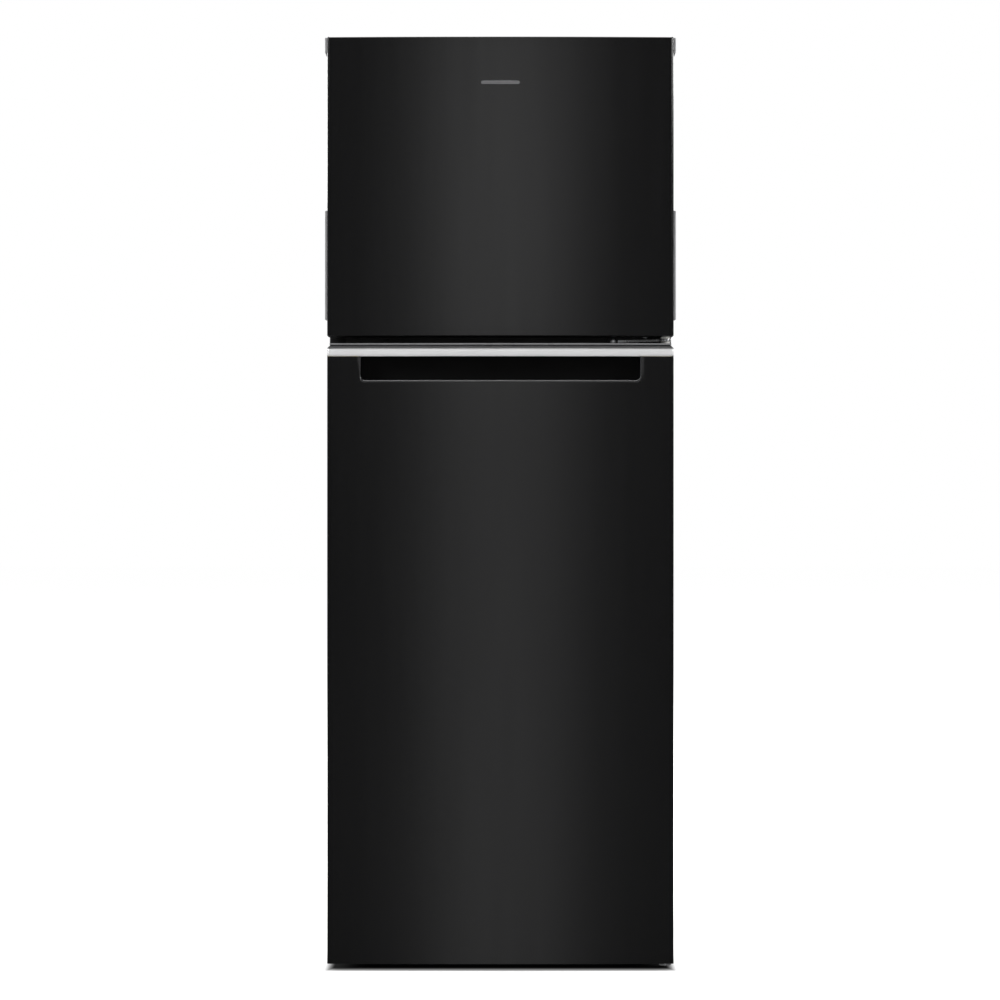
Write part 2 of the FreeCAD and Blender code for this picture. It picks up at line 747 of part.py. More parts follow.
def shelf(z, y_end):
    """Glass shelf on its ledges and the trims along its front and rear edges."""
    glass = block(-glass_half, glass_half, shelf_front, y_end, z, z + shelf_glass)
    y0 = shelf_front - 10.0
    front = block(-trim_half, trim_half, y0, shelf_front + 4.0, z - 5.0, z + shelf_glass + 2.0)
    front = round_edges(front, 2.0, lambda edge: edge.BoundBox.YMax < y0 + 1.0 and along(edge, 0))
    rear = block(-trim_half, trim_half, y_end - 4.0, y_end + 2.0, z - 2.0, z + shelf_glass + 6.0)
    return glass, [front.cut(glass), rear.cut(glass)]


def all_shelves():
    ends = [(z, clear_back - 8.0) for z in shelf_levels]
    ends += [(freezer_shelf_z, evaporator_y - 8.0)]
    pairs = [shelf(z, y_end) for z, y_end in ends]
    return [glass for glass, trims in pairs], [trim for glass, trims in pairs for trim in trims]


slider_slot = 66.0
slider_width = 18.0
cover_front = shelf_front - 16.0
cover_lip = 6.0  # cover trim in front of its glass


def crisper_cover():
    """Glass cover over the drawer, and its front trim with the humidity slot."""
    y_end = step_y - liner_wall - 6.0
    glass = block(-glass_half, glass_half, cover_front, y_end, cover_z, cover_z + shelf_glass)
    y0, y1 = cover_front - cover_lip, cover_front + 4.0
    trim = block(-trim_half, trim_half, y0, y1, cover_z - 12.0, cover_z + shelf_glass + 2.0)
    slot = block(-slider_slot / 2, slider_slot / 2, y0 - 1, y1 + 1, cover_z - 8.0, cover_z - 4.0)
    return glass, trim.cut([glass, slot])


def humidity_slider():
    """Thumb piece in front of the slot, its stem through the slot and its tail plate behind."""
    y = cover_front - cover_lip
    x0 = -slider_slot / 2 + seat
    x1 = x0 + slider_width
    knob = block(x0 + 2, x1 - 2, y - seat - 4.0, y - seat, cover_z - 11.0, cover_z - 1.0)
    stem = block(x0, x1, y - seat, y + 10.0 + seat, cover_z - 8.0 + seat, cover_z - 4.0 - seat)
    tail = block(x0 + 2, x1 - 2, y + 10.0 + seat, y + 12.0 + seat, cover_z - 10.0, cover_z - 2.0)
    return fuse_all([knob, stem, tail])


def crisper_drawer():
    y0 = shelf_front - 5.0
    y1 = y0 + crisper_depth
    top = crisper_z + crisper_height
    w, rounding = crisper_wall, 12.0
    outside = block(-crisper_half, crisper_half, y0, y1, crisper_z, top)
    outside = round_edges(outside, rounding, lambda edge: along(edge, 2))
    inside = block(-crisper_half + w, crisper_half - w, y0 + w, y1 - w, crisper_z + w, top + 1)
    inside = round_edges(inside, rounding - w, lambda edge: along(edge, 2))
    wing = block(crisper_half - w, clear_x - 4.0, y0 + 14.0, y1 - 14.0, top - crisper_rim, top)
    wings = both_sides(wing)
    lip_y, lip_half = y0 - 8.0, 110.0
    lip = block(-lip_half, lip_half, lip_y, y0 + w, top - 6.0, top)
    curl = block(-lip_half, lip_half, lip_y, lip_y + w, top - 22.0, top)
    return fuse_all([outside.cut(inside), lip, curl] + [wing.cut(inside) for wing in wings])


housing_half = 120.0
housing_height = 40.0
housing_wall = 2.0
housing_y0 = shelf_front + 110.0
housing_y1 = housing_y0 + 160.0
housing_z = fridge_ceiling - housing_height
knob_x = 62.0
knob_z = housing_z + 19.0
knob_radius = 16.0
shaft_radius = 3.0
lamp_y = (housing_y0 + housing_y1) / 2 + 14.0


def control_housing():
    w = housing_wall
    outside = block(-housing_half, housing_half, housing_y0, housing_y1, housing_z, fridge_ceiling)
    outside = round_edges(outside, 6.0, lambda edge: along(edge, 2))
    y0, z0 = housing_y0 + w, housing_z + w
    inside = block(-housing_half + w, housing_half - w, y0, housing_y1 - w, z0, fridge_ceiling + 1)
    window = block(-45.0, 45.0, lamp_y - 25.0, lamp_y + 25.0, housing_z - 1, z0 + 1)
    start = V(knob_x, housing_y0 - 1, knob_z)
    hole = rod(shaft_radius + 0.5, start, V(0, 1, 0), w + 2)
    box = block(knob_x - 20.0, knob_x + 20.0, y0, y0 + 34.0, z0, z0 + 32.0)
    bore = rod(shaft_radius + running, V(knob_x, housing_y0, knob_z), V(0, 1, 0), 18.0)
    board = block(-52.0, 52.0, lamp_y - 30.0, lamp_y + 30.0, z0, z0 + 1.6)
    return [outside.cut([inside, window, hole]), box.cut(bore), board]


def lamp_lens():
    plate = block(-50.0, 50.0, lamp_y - 30.0, lamp_y + 30.0, housing_z - 2.0, housing_z)
    crown = block(-42.0, 42.0, lamp_y - 22.0, lamp_y + 22.0, housing_z - 5.0, housing_z - 2.0)
    crown = round_edges(crown, 2.5, lambda edge: edge.BoundBox.ZMax < housing_z - 4.0)
    return fuse_all([plate, crown])


def control_knob():
    y = housing_y0 - seat
    skirt = rod(knob_radius, V(knob_x, y, knob_z), V(0, -1, 0), 4.0)
    grip = rod(knob_radius - 3.0, V(knob_x, y - 4.0, knob_z), V(0, -1, 0), 10.0)
    grip = round_edges(grip, 1.5, lambda edge: edge.BoundBox.YMax < y - 13.0)
    pointer = block(knob_x - 1.2, knob_x + 1.2, y - 15.0, y - 4.0, knob_z + 2.0, knob_z + knob_radius - 1.0)
    shaft = rod(shaft_radius, V(knob_x, y, knob_z), V(0, 1, 0), 15.0)
    return fuse_all([skirt, grip, pointer, shaft])


# Evaporator behind its cover
fin_z0 = freezer_floor + 40.0
fin_rows = 5
fin_pitch = 30.0
fin_tube = 4.0
fin_half = 180.0
plate_x = 190.0
fin_y0 = evaporator_y + 8.0
fin_y1 = liner_back - liner_wall - 6.0
tube_ys = (fin_y0 + 13.0, fin_y1 - 11.0)
fin_levels = [fin_z0 + 13.0 + fin_pitch * row for row in range(fin_rows)]
fin_top = fin_levels[-1] + 13.0
heater_z = fin_z0 - 14.0
fan_z = freezer_floor + 300.0
fan_radius = 45.0
motor_radius = 22.0
motor_y = evaporator_y + 24.0
motor_length = 24.0
motor_shaft = 1.5
hub_radius = 12.0
hub_length = 12.0
blade_count = 5
blade_pitch = 32.0


def evaporator_coil():
    tubes = [serpentine(plate_x + 5.0, y, fin_levels, fin_tube) for y in tube_ys]
    starts = [V(-plate_x - 5, y, z) for y in tube_ys for z in fin_levels]
    ways = [rod(fin_tube, start, V(1, 0, 0), 2 * plate_x + 10) for start in starts]
    fin = block(-0.4, 0.4, fin_y0, fin_y1, fin_z0, fin_top).cut(ways)
    fins = [fin.translated(V(x, 0, 0)) for x in [-fin_half + 20.0 * i for i in range(19)]]
    middle_y = (tube_ys[0] + tube_ys[1]) / 2
    heater = rod(3.5, V(-plate_x - 1.5, middle_y, heater_z), V(1, 0, 0), 2 * plate_x + 3.0)
    plate = block(plate_x, plate_x + 1.5, fin_y0, clear_back, heater_z - 6.0, fin_top + 4.0)
    plates = [side.cut(ways + [heater]) for side in both_sides(plate)]
    return tubes + fins + plates + [heater]


def evaporator_cover():
    half = clear_x - seat
    z0, z1 = freezer_floor + seat, ceiling - liner_wall - seat
    sheet_plate = block(-half, half, evaporator_y, evaporator_y + evaporator_sheet, z0, z1)
    sheet_plate = round_edges(sheet_plate, liner_radius, lambda edge: along(edge, 1))
    slots = []
    for step in range(-4, 5):
        width = math.sqrt((fan_radius + 1) ** 2 - (step * 10.0) ** 2)
        z = fan_z + step * 10.0
        slots.append(block(-width, width, evaporator_y - 1, evaporator_y + 4, z - 2.5, z + 2.5))
    for number in range(11):
        x = -150.0 + 30.0 * number
        slots.append(block(x - 8, x + 8, evaporator_y - 1, evaporator_y + 4, z0 + 14, z0 + 34))
    return sheet_plate.cut(slots)


def fan_motor():
    start = V(0, motor_y, fan_z)
    can = rod(motor_radius, start, V(0, 1, 0), motor_length)
    can = round_edges(can, 3.0, lambda edge: edge.Length > 100)
    can = can.cut(rod(motor_shaft + running, start, V(0, 1, 0), 10.0))
    y = motor_y + motor_length
    bar = block(-60, 60, y, y + 2.0, fan_z - 12, fan_z + 12)
    posts = both_sides(block(50, 60, y + 2.0, clear_back, fan_z - 8, fan_z + 8))
    return [can, fuse_all([bar] + posts)]


def evaporator_fan():
    hub_y = evaporator_y + 7.0
    axis = V(0, 1, 0)
    hub = rod(hub_radius, V(0, hub_y, fan_z), axis, hub_length)
    blade = block(hub_radius - 3.0, fan_radius, -0.8, 0.8, -15.0, 15.0)
    blade.rotate(V(0, 0, 0), V(1, 0, 0), blade_pitch)
    blade.translate(V(0, hub_y + hub_length / 2, fan_z))
    keep = rod(fan_radius - 0.5, V(0, hub_y - 10.0, fan_z), axis, 32.0)
    blade = blade.common(keep)
    blades = []
    for turn in range(blade_count):
        one = blade.copy()
        one.rotate(V(0, 0, fan_z), axis, 360.0 / blade_count * turn)
        blades.append(one)
    shaft = rod(motor_shaft, V(0, hub_y, fan_z), axis, motor_y + 8.0 - hub_y)
    return [fuse_all([hub] + blades).cut([shaft]), shaft]


# Doors
cup_z0 = trim_z0 - pocket_height
cup_back = face_y + pocket_depth
skirt_inset = trim_thickness + 3.0
cap_hollow_half = axis_x - boss_radius - 10.0
cap_hollow_top = lower_top - lip_height - 3.0
grip_z0 = upper_bottom + grip_bottom
grip_z1 = grip_z0 + grip_height
grip_y1 = door_back - 8.0
ear_z = upper_top - ear_height
recess_x = axis_x - arm_half - 5.0
recess_y = axis_y - 2 * arm_half - 0.5  # clear of the arm over the door's whole swing
recess_z = upper_top - recess_depth


def side_box(x0, x1, y0, y1, z0, z1):
    return both_sides(block(x0, x1, y0, y1, z0, z1))


def bore_pair(z, direction, radius, length):
    return both_sides(rod(radius, V(axis_x, axis_y, z), direction, length))


def upper_door_skin():
    shell = door_shell(upper_bottom, upper_top, skin)
    corners = side_box(half_door - skin, half_door + 1, side_cut_y, door_back + 1, ear_z, upper_top + 1)
    grips = side_box(half_door - skin - 1, half_door + 1, side_cut_y, grip_y1, grip_z0, grip_z1)
    return shell.cut(corners + grips)


def upper_door_grips():
    x0 = half_door - grip_depth
    body = block(x0, half_door, side_cut_y, grip_y1, grip_z0, grip_z1)
    lip = block(half_door - 1, half_door + ear_rise, side_cut_y, side_cut_y + 9.0, grip_z0, grip_z1)
    lip = round_edges(lip, 2.0, lambda edge: edge.BoundBox.XMin > half_door + 1)
    y0, y1 = side_cut_y + 6.0, grip_y1 - 3.0
    pocket = block(x0 + 2.5, half_door + 9, y0 + 3.0, y1, grip_z0 + 5, grip_z1 - 5)
    pocket = round_edges(pocket, 6.0, lambda edge: along(edge, 0))
    return both_sides(fuse_all([body, lip]).cut([pocket]))


def upper_door_top_cap():
    cap = door_block(ear_z, upper_top, skin)
    ears = side_box(half_door - skin - 1, half_door + ear_rise, side_cut_y, door_back, ear_z, upper_top)
    outer = lambda edge: along(edge, 2) and abs(edge.Vertexes[0].Point.x) > half_door + 1
    ears = [round_edges(ear, 2.0, outer) for ear in ears]
    recesses = side_box(recess_x, half_door + ear_rise + 1, recess_y, door_back + 1, recess_z, upper_top + 1)
    hollow = block(-cap_hollow_half, cap_hollow_half, side_cut_y, door_back - 3.0, ear_z - 1, upper_top - 3.0)
    bores = bore_pair(recess_z, down, bush_radius, ear_height - recess_depth)
    return fuse_all([cap] + ears).cut(recesses + [hollow] + bores)


def upper_door_bottom_cap():
    cap = door_block(upper_bottom, upper_bottom + cap_plate, skin)
    bosses = bore_pair(upper_bottom, up, boss_radius, boss_length)
    bores = bore_pair(upper_bottom, up, bush_radius, bush_length)
    ways = bore_pair(upper_bottom, up, pin_room, boss_length)
    return fuse_all([cap] + bosses).cut(bores + ways)


def upper_door_foam():
    foam = door_block(upper_bottom + cap_plate, ear_z, skin + glue_line, door_back - liner_wall)
    grips = side_box(half_door - grip_depth, half_door, side_cut_y, grip_y1, grip_z0, grip_z1)
    bosses = bore_pair(upper_bottom, up, boss_radius, boss_length)
    bosses += bore_pair(upper_bottom, up, pin_room, boss_length + 10.0)
    upper = bore_pair(recess_z, down, bush_radius, bush_length)
    upper += bore_pair(recess_z, down, pin_room, boss_length + 10.0)
    return foam.cut(grips + bosses + upper)


def bin_ledges(levels):
    inner = dyke_half - dyke_width
    ledges = []
    for z, height in levels:
        ledges += side_box(inner - 14.0, inner + 1, door_back, door_back + 42.0, z - 8.0, z - seat)
    return ledges


def door_liner(z0, z1, dyke_z0, dyke_z1, levels):
    half = half_door - skin
    plate = block(-half, half, door_back - liner_wall, door_back, z0, z1)
    dyke = block(dyke_half - dyke_width, dyke_half, door_back - 1, door_back + dyke_rise, dyke_z0, dyke_z1)
    top = door_back + dyke_rise - 1
    dyke = round_edges(dyke, 5.0, lambda edge: edge.BoundBox.YMin > top and along(edge, 2))
    return fuse_all([plate] + both_sides(dyke) + bin_ledges(levels))


def door_bins(levels):
    half = dyke_half - dyke_width - bin_gap
    y0, y1 = door_back + seat, door_back + bin_depth
    bins = []
    for z, height in levels:
        w = bin_wall
        outside = block(-half, half, y0, y1, z, z + height)
        outside = round_edges(outside, 10.0, lambda e: along(e, 2) and e.BoundBox.YMin > y1 - 1)
        inside = block(-half + w, half - w, y0 + w, y1 - w, z + w, z + height + 1)
        inside = round_edges(inside, 10.0 - w, lambda e: along(e, 2) and e.BoundBox.YMin > y1 - w - 1)
        bins.append(outside.cut(inside))
    return bins


def gasket(z0, z1):
    outer = half_cab - gasket_edge
    y0, y1 = door_back, cab_front - seal_clearance
    ring = block(-outer, outer, y0, y1, z0, z1)
    inner = outer - gasket_width
    hole = block(-inner, inner, y0 - 1, y1 + 1, z0 + gasket_width, z1 - gasket_width)
    return ring.cut(hole)


def plug(z, direction):
    """Button that closes an unused hinge hole on the left of a door."""
    head = rod(bush_radius + 1.5, V(-axis_x, axis_y, z), direction, 1.6)
    stem = rod(bush_radius - 0.4, V(-axis_x, axis_y, z), direction * -1, 8.0)
    return head.fuse(stem)


def badge():
    half, rise, z = 30.0, 3.0, upper_top - 78.0
    bar = block(-half, half, front_y, face_y + 1, z - rise, z + rise)
    ends = both_sides(rod(rise, V(half, front_y, z), V(0, 1, 0), flange_rise + 1))
    return fuse_all([bar] + ends).cut(door_block(z - 20, z + 20))


def lower_trim():
    shell = door_shell(trim_z0, trim_z1, trim_thickness)
    half = half_door + 1
    return shell.cut(block(-half, half, side_cut_y, door_back + 2, trim_z0 - 1, trim_z1 + 1))


def cap_hollow(play=0.0):
    inset = skirt_inset + play
    region = door_block(trim_z0, cap_hollow_top - play, inset, door_back - 3.0 - play)
    half = cap_hollow_half - play
    return region.common(block(-half, half, front_y, door_back, trim_z0, cap_hollow_top))


def lower_door_top_cap():
    bevel_top = lower_top - lip_height
    body = door_block(trim_z0, trim_z1).cut(lower_trim())
    low, high = door_wire(trim_z1, 0.0), door_wire(bevel_top, bevel_inset)
    bevel = Part.makeLoft([low, high], True, True).common(door_block(trim_z1, bevel_top))
    lip = door_block(bevel_top, lower_top, lip_inset)
    bores = bore_pair(lower_top, down, bush_radius, bush_length)
    ways = bore_pair(lower_top, down, pin_room, trim_bottom)
    return fuse_all([body, bevel, lip]).cut([cap_hollow()] + bores + ways)


def door_wire(z, inset):
    """Door outline with square corners, as a wire at height z."""
    half = half_door - inset
    radius = crown_radius - inset
    centre = face_y + crown_radius
    corner_y = centre - math.sqrt(radius ** 2 - half ** 2)
    a, b = V(-half, door_back, z), V(-half, corner_y, z)
    c, d = V(half, corner_y, z), V(half, door_back, z)
    edges = [Part.LineSegment(a, b), Part.Arc(b, V(0, centre - radius, z), c)]
    edges += [Part.LineSegment(c, d), Part.LineSegment(d, a)]
    return Part.Wire([edge.toShape() for edge in edges])


def cup_outside():
    half = pocket_half + cup_wall
    z0, top = cup_z0 - cup_wall, trim_z0 + pocket_reach + cup_wall
    low = block(-half, half, front_y - 2, cup_back, z0, trim_z0).common(door_block(z0, trim_z0))
    high = block(-half, half, front_y - 2, cup_back, trim_z0, top)
    high = high.common(door_block(trim_z0, top, skirt_inset + glue_line))
    return low, high


def handle_cup():
    low, high = cup_outside()
    half = pocket_half + cup_wall + rim_width
    z0 = cup_z0 - cup_wall - rim_width
    rim = block(-half, half, front_y - 2, cup_back, z0, trim_z0).common(door_block(z0, trim_z0, -flange_rise))
    rim = rim.cut(door_block(z0 - 1, trim_z0 + 1))
    back = cup_back - cup_wall
    mouth = block(-pocket_half, pocket_half, front_y - 3, back, cup_z0, trim_z0 + 1)
    rounded = lambda e: along(e, 1) and e.BoundBox.ZMax < cup_z0 + 1
    mouth = round_edges(mouth, pocket_radius, rounded)
    mouth = mouth.cut(block(-half, half, front_y - 4, back + 1, trim_z0, trim_z0 + 2))
    reach = block(-pocket_half, pocket_half, front_y - 3, back, trim_z0 - 1, trim_z0 + pocket_reach)
    reach = reach.common(door_block(trim_z0 - 2, trim_z0 + 20, skirt_inset + cup_wall))
    return fuse_all([low, high, rim]).cut([mouth, reach])


def lower_door_skin():
    half = pocket_half + cup_wall
    hole = block(-half, half, front_y - 1, cup_back, cup_z0 - cup_wall, trim_z0 + 1)
    return door_shell(floor_gap, trim_z0, skin).cut(hole)


def lower_door_bottom_cap():
    cap = door_block(floor_gap, floor_gap + cap_plate, skin)
    bosses = bore_pair(floor_gap, up, boss_radius, boss_length)
    bores = bore_pair(floor_gap, up, bush_radius, bush_length)
    ways = bore_pair(floor_gap, up, pin_room, boss_length)
    return fuse_all([cap] + bosses).cut(bores + ways)


def lower_door_foam():
    main = door_block(floor_gap + cap_plate, trim_z0, skin + glue_line, door_back - liner_wall)
    bosses = bore_pair(floor_gap, up, boss_radius, boss_length)
    bosses += bore_pair(floor_gap, up, pin_room, boss_length + 10.0)
    low, high = cup_outside()
    return fuse_all([main, cap_hollow(glue_line)]).cut(bosses + [low, high])


def hinge_washers():
    spans = [(plate_z1, upper_bottom - seat), (lower_top + seat, plate_z0)]
    spans += [(lower_plate_z1, floor_gap - seat), (recess_z + seat, arm_z0)]
    return [tube(bush_radius, pin_radius, V(axis_x, axis_y, z0), up, z1 - z0) for z0, z1 in spans]


def rail_plugs():
    heads = [V(-(axis_x - x), cab_front, mid_z + dz) for x, dz in middle_places]
    return [rod(4.0, head, V(0, -1, 0), 1.6) for head in heads]


# Door bins as (floor, height)
upper_bins = ((freezer_floor + 30.0, 70.0), (freezer_floor + 215.0, 70.0))
lower_bins = ((cover_z + 22.0, 120.0), (cover_z + 240.0, 85.0), (cover_z + 430.0, 85.0))
lower_bins += ((cover_z + 600.0, 70.0),)

shelf_sheets, shelf_edges = all_shelves()
cover_glass, cover_trim = crisper_cover()
middle_seal = leg_half + 3.0

save("outer_wrapper", outer_wrapper())
save("rear_panel", rear_panel())
save("base_pan", base_pan())
save("insulation", insulation())
save("freezer_liner", freezer_liner())
save("fridge_liner", fridge_liner())
middle_rail = rail(mid_z - rail_half, mid_z + rail_half, flange_x)
save("front_rails", [middle_rail, rail(base_height, bottom_rail_top, flange_x)])
save("hinge_cover", hinge_cover())
save("top_hinge", top_hinge())
save("middle_hinge", middle_hinge())
save("bottom_hinge", bottom_hinge())
save("hinge_pins", hinge_pins())
save("hinge_washers", hinge_washers())
save("hinge_screws", hinge_screws)
save("rail_plugs", rail_plugs())
save("front_foot_left", foot(-1))
save("front_foot_right", foot(1))
save("roller_frames", [roller_frame(s) for s in (-1, 1)] + [roller_axle(s) for s in (-1, 1)])
save("rear_roller_left", roller(-1))
save("rear_roller_right", roller(1))
save("compressor_tray", compressor_tray())
save("compressor", [compressor()] + grommets())
save("terminal_cover", terminal_cover())
save("drain_pan", [drain_pan(), drain_tube()])
save("copper_tubing", copper_tubing() + [filter_drier()])
save("condenser_tube", serpentine(coil_half, coil_y, coil_levels, coil_radius))
save("condenser_wires", condenser_wires())
save("condenser_clips", condenser_clips())
save("power_inlet", power_inlet())
save("evaporator_coil", evaporator_coil())
save("evaporator_cover", evaporator_cover())
save("fan_motor", fan_motor())
save("evaporator_fan", evaporator_fan())
save("control_housing", control_housing())
save("control_knob", control_knob())
save("lamp_lens", lamp_lens())
save("shelf_glass", shelf_sheets + [cover_glass])
save("shelf_trims", shelf_edges + [cover_trim])
save("humidity_slider", humidity_slider())
save("crisper_drawer", crisper_drawer())

save("upper_door_skin", upper_door_skin())
save("upper_door_foam", upper_door_foam())
upper_dykes = (freezer_floor + 14.0, ceiling - liner_wall - 14.0)
save("upper_door_liner", door_liner(upper_bottom + cap_plate, ear_z, *upper_dykes, upper_bins))
save("upper_door_gasket", gasket(mid_z + middle_seal, roof - 6.0))
save("upper_door_top_cap", upper_door_top_cap())
save("upper_door_bottom_cap", upper_door_bottom_cap())
save("upper_door_grips", upper_door_grips())
save("upper_door_bins", door_bins(upper_bins))
save("upper_door_bushes", [bush(upper_bottom, up), bush(recess_z, down), plug(upper_bottom, down)])
save("badge", badge())

save("lower_door_skin", lower_door_skin())
save("lower_door_foam", lower_door_foam())
lower_dykes = (cover_z + 14.0, fridge_ceiling - 14.0)
save("lower_door_liner", door_liner(floor_gap + cap_plate, trim_z0, *lower_dykes, lower_bins))
save("lower_door_gasket", gasket(base_height + 12.0, mid_z - middle_seal))
save("lower_door_top_cap", lower_door_top_cap())
save("lower_door_bottom_cap", lower_door_bottom_cap())
save("lower_door_trim", lower_trim())
save("handle_cup", handle_cup())
save("lower_door_bins", door_bins(lower_bins))
save("lower_door_bushes", [bush(floor_gap, up), bush(lower_top, down), plug(lower_top, up)])
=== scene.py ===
import bpy
import bmesh
import json
import math
from mathutils import Matrix, Vector


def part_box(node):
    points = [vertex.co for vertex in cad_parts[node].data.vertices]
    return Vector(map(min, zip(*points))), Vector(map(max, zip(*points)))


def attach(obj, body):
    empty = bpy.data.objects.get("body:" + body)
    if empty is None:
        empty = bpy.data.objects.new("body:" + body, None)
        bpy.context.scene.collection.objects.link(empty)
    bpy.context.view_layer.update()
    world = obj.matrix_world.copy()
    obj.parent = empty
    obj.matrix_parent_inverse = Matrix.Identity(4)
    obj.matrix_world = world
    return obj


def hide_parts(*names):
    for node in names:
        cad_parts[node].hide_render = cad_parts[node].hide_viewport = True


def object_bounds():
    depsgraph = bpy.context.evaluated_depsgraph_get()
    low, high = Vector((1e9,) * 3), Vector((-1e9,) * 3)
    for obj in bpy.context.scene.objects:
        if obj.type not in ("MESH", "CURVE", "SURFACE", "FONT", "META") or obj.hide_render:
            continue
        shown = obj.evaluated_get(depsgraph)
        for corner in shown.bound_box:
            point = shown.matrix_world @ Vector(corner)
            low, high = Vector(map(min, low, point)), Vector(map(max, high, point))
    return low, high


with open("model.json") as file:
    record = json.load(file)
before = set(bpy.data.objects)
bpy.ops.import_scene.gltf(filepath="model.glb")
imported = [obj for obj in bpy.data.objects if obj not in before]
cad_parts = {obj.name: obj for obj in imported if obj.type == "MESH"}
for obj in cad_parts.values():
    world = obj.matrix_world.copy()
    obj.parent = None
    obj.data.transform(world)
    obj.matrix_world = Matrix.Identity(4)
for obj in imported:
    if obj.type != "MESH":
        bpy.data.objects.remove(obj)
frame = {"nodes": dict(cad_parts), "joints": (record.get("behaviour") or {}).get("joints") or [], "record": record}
cadBox = [list(corner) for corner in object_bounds()]
nodes = frame["nodes"]
print("frame loaded:", len(nodes), "nodes")


studio = {
    "cameraGap": 5.0,          # metres from the doors' front to the lens
    "cameraHeight": 0.8038,
    "cameraSide": -0.0007,
    "frameWidth": 1.705,       # what the frame takes in at the doors' front
    "floorSize": 60.0,
    "floorColour": (0.93, 0.93, 0.93),
    "floorRough": 0.9,
    "floorShine": 0.1,
    "surround": 0.10,          # what the object sees between the lamps
    "backdrop": 1.0,           # what the camera sees behind the object
    "floorGlow": 0.9,          # lifts the floor to the backdrop's white
    "footprint": (0.300, 0.346),   # half sizes of the painted shadow under the cabinet: there the floor is painted dark and left unlifted
    # softness of the painted shadow's edge across X and Y
    "footprintFade": (0.03, 0.077),
}
lamps = {
    # name: place, aimed at, width, height, watts
    "keyLamp": ((-4.6, -3.0, 3.9), (0, 0, 0.9), 2.4, 2.4, 230),
    "fillLamp": ((4.8, -2.6, 3.2), (0, 0, 0.8), 2.2, 2.2, 150),
    "topLamp": ((0.0, -0.2, 5.0), (0, 0, 0), 2.6, 2.6, 230),
    "rearLeftLamp": ((-3.2, 4.2, 3.0), (0, 0, 0.8), 2.4, 2.4, 190),
    "rearRightLamp": ((3.4, 4.0, 3.4), (0, 0, 0.8), 2.4, 2.4, 190),
    # two strips behind the camera: the doors' curved fronts gather them into one soft upright band
    "upperStrip": ((0.0, -9.6, 2.60), (0, 0, 2.60), 1.22, 2.10, 7.9),
    "lowerStrip": ((0.0, -9.6, -0.20), (0, 0, -0.20), 1.22, 3.50, 8.7),
}


def makeCamera():
    lens = bpy.data.cameras.new("photoCamera")
    lens.sensor_width = 36.0
    lens.lens = lens.sensor_width / 2 / (studio["frameWidth"] / 2 / studio["cameraGap"])
    lens.clip_end = 200.0
    camera = bpy.data.objects.new("photoCamera", lens)
    camera.location = (studio["cameraSide"], cadBox[0][1] - studio["cameraGap"], studio["cameraHeight"])
    camera.rotation_euler = (math.radians(90), 0, 0)
    bpy.context.scene.collection.objects.link(camera)
    bpy.context.scene.camera = camera


def makeLamps():
    for name, (place, target, width, height, watts) in lamps.items():
        lamp = bpy.data.lights.new(name, "AREA")
        lamp.shape = "RECTANGLE"
        lamp.size = width
        lamp.size_y = height
        lamp.energy = watts
        holder = bpy.data.objects.new(name, lamp)
        holder.location = place
        aim = Vector(target) - Vector(place)
        holder.rotation_euler = aim.to_track_quat("-Z", "Y").to_euler()
        bpy.context.scene.collection.objects.link(holder)


def makeSurround():
    world = bpy.data.worlds.new("studio")
    world.use_nodes = True
    tree = world.node_tree
    tree.nodes.clear()
    seen = tree.nodes.new("ShaderNodeBackground")
    seen.inputs["Strength"].default_value = studio["backdrop"]
    seen.inputs["Color"].default_value = (1, 1, 1, 1)
    felt = tree.nodes.new("ShaderNodeBackground")
    felt.inputs["Strength"].default_value = studio["surround"]
    felt.inputs["Color"].default_value = (1, 1, 1, 1)
    path = tree.nodes.new("ShaderNodeLightPath")
    mix = tree.nodes.new("ShaderNodeMixShader")
    out = tree.nodes.new("ShaderNodeOutputWorld")
    tree.links.new(path.outputs["Is Camera Ray"], mix.inputs[0])
    tree.links.new(felt.outputs[0], mix.inputs[1])
    tree.links.new(seen.outputs[0], mix.inputs[2])
    tree.links.new(mix.outputs[0], out.inputs[0])
    bpy.context.scene.world = world


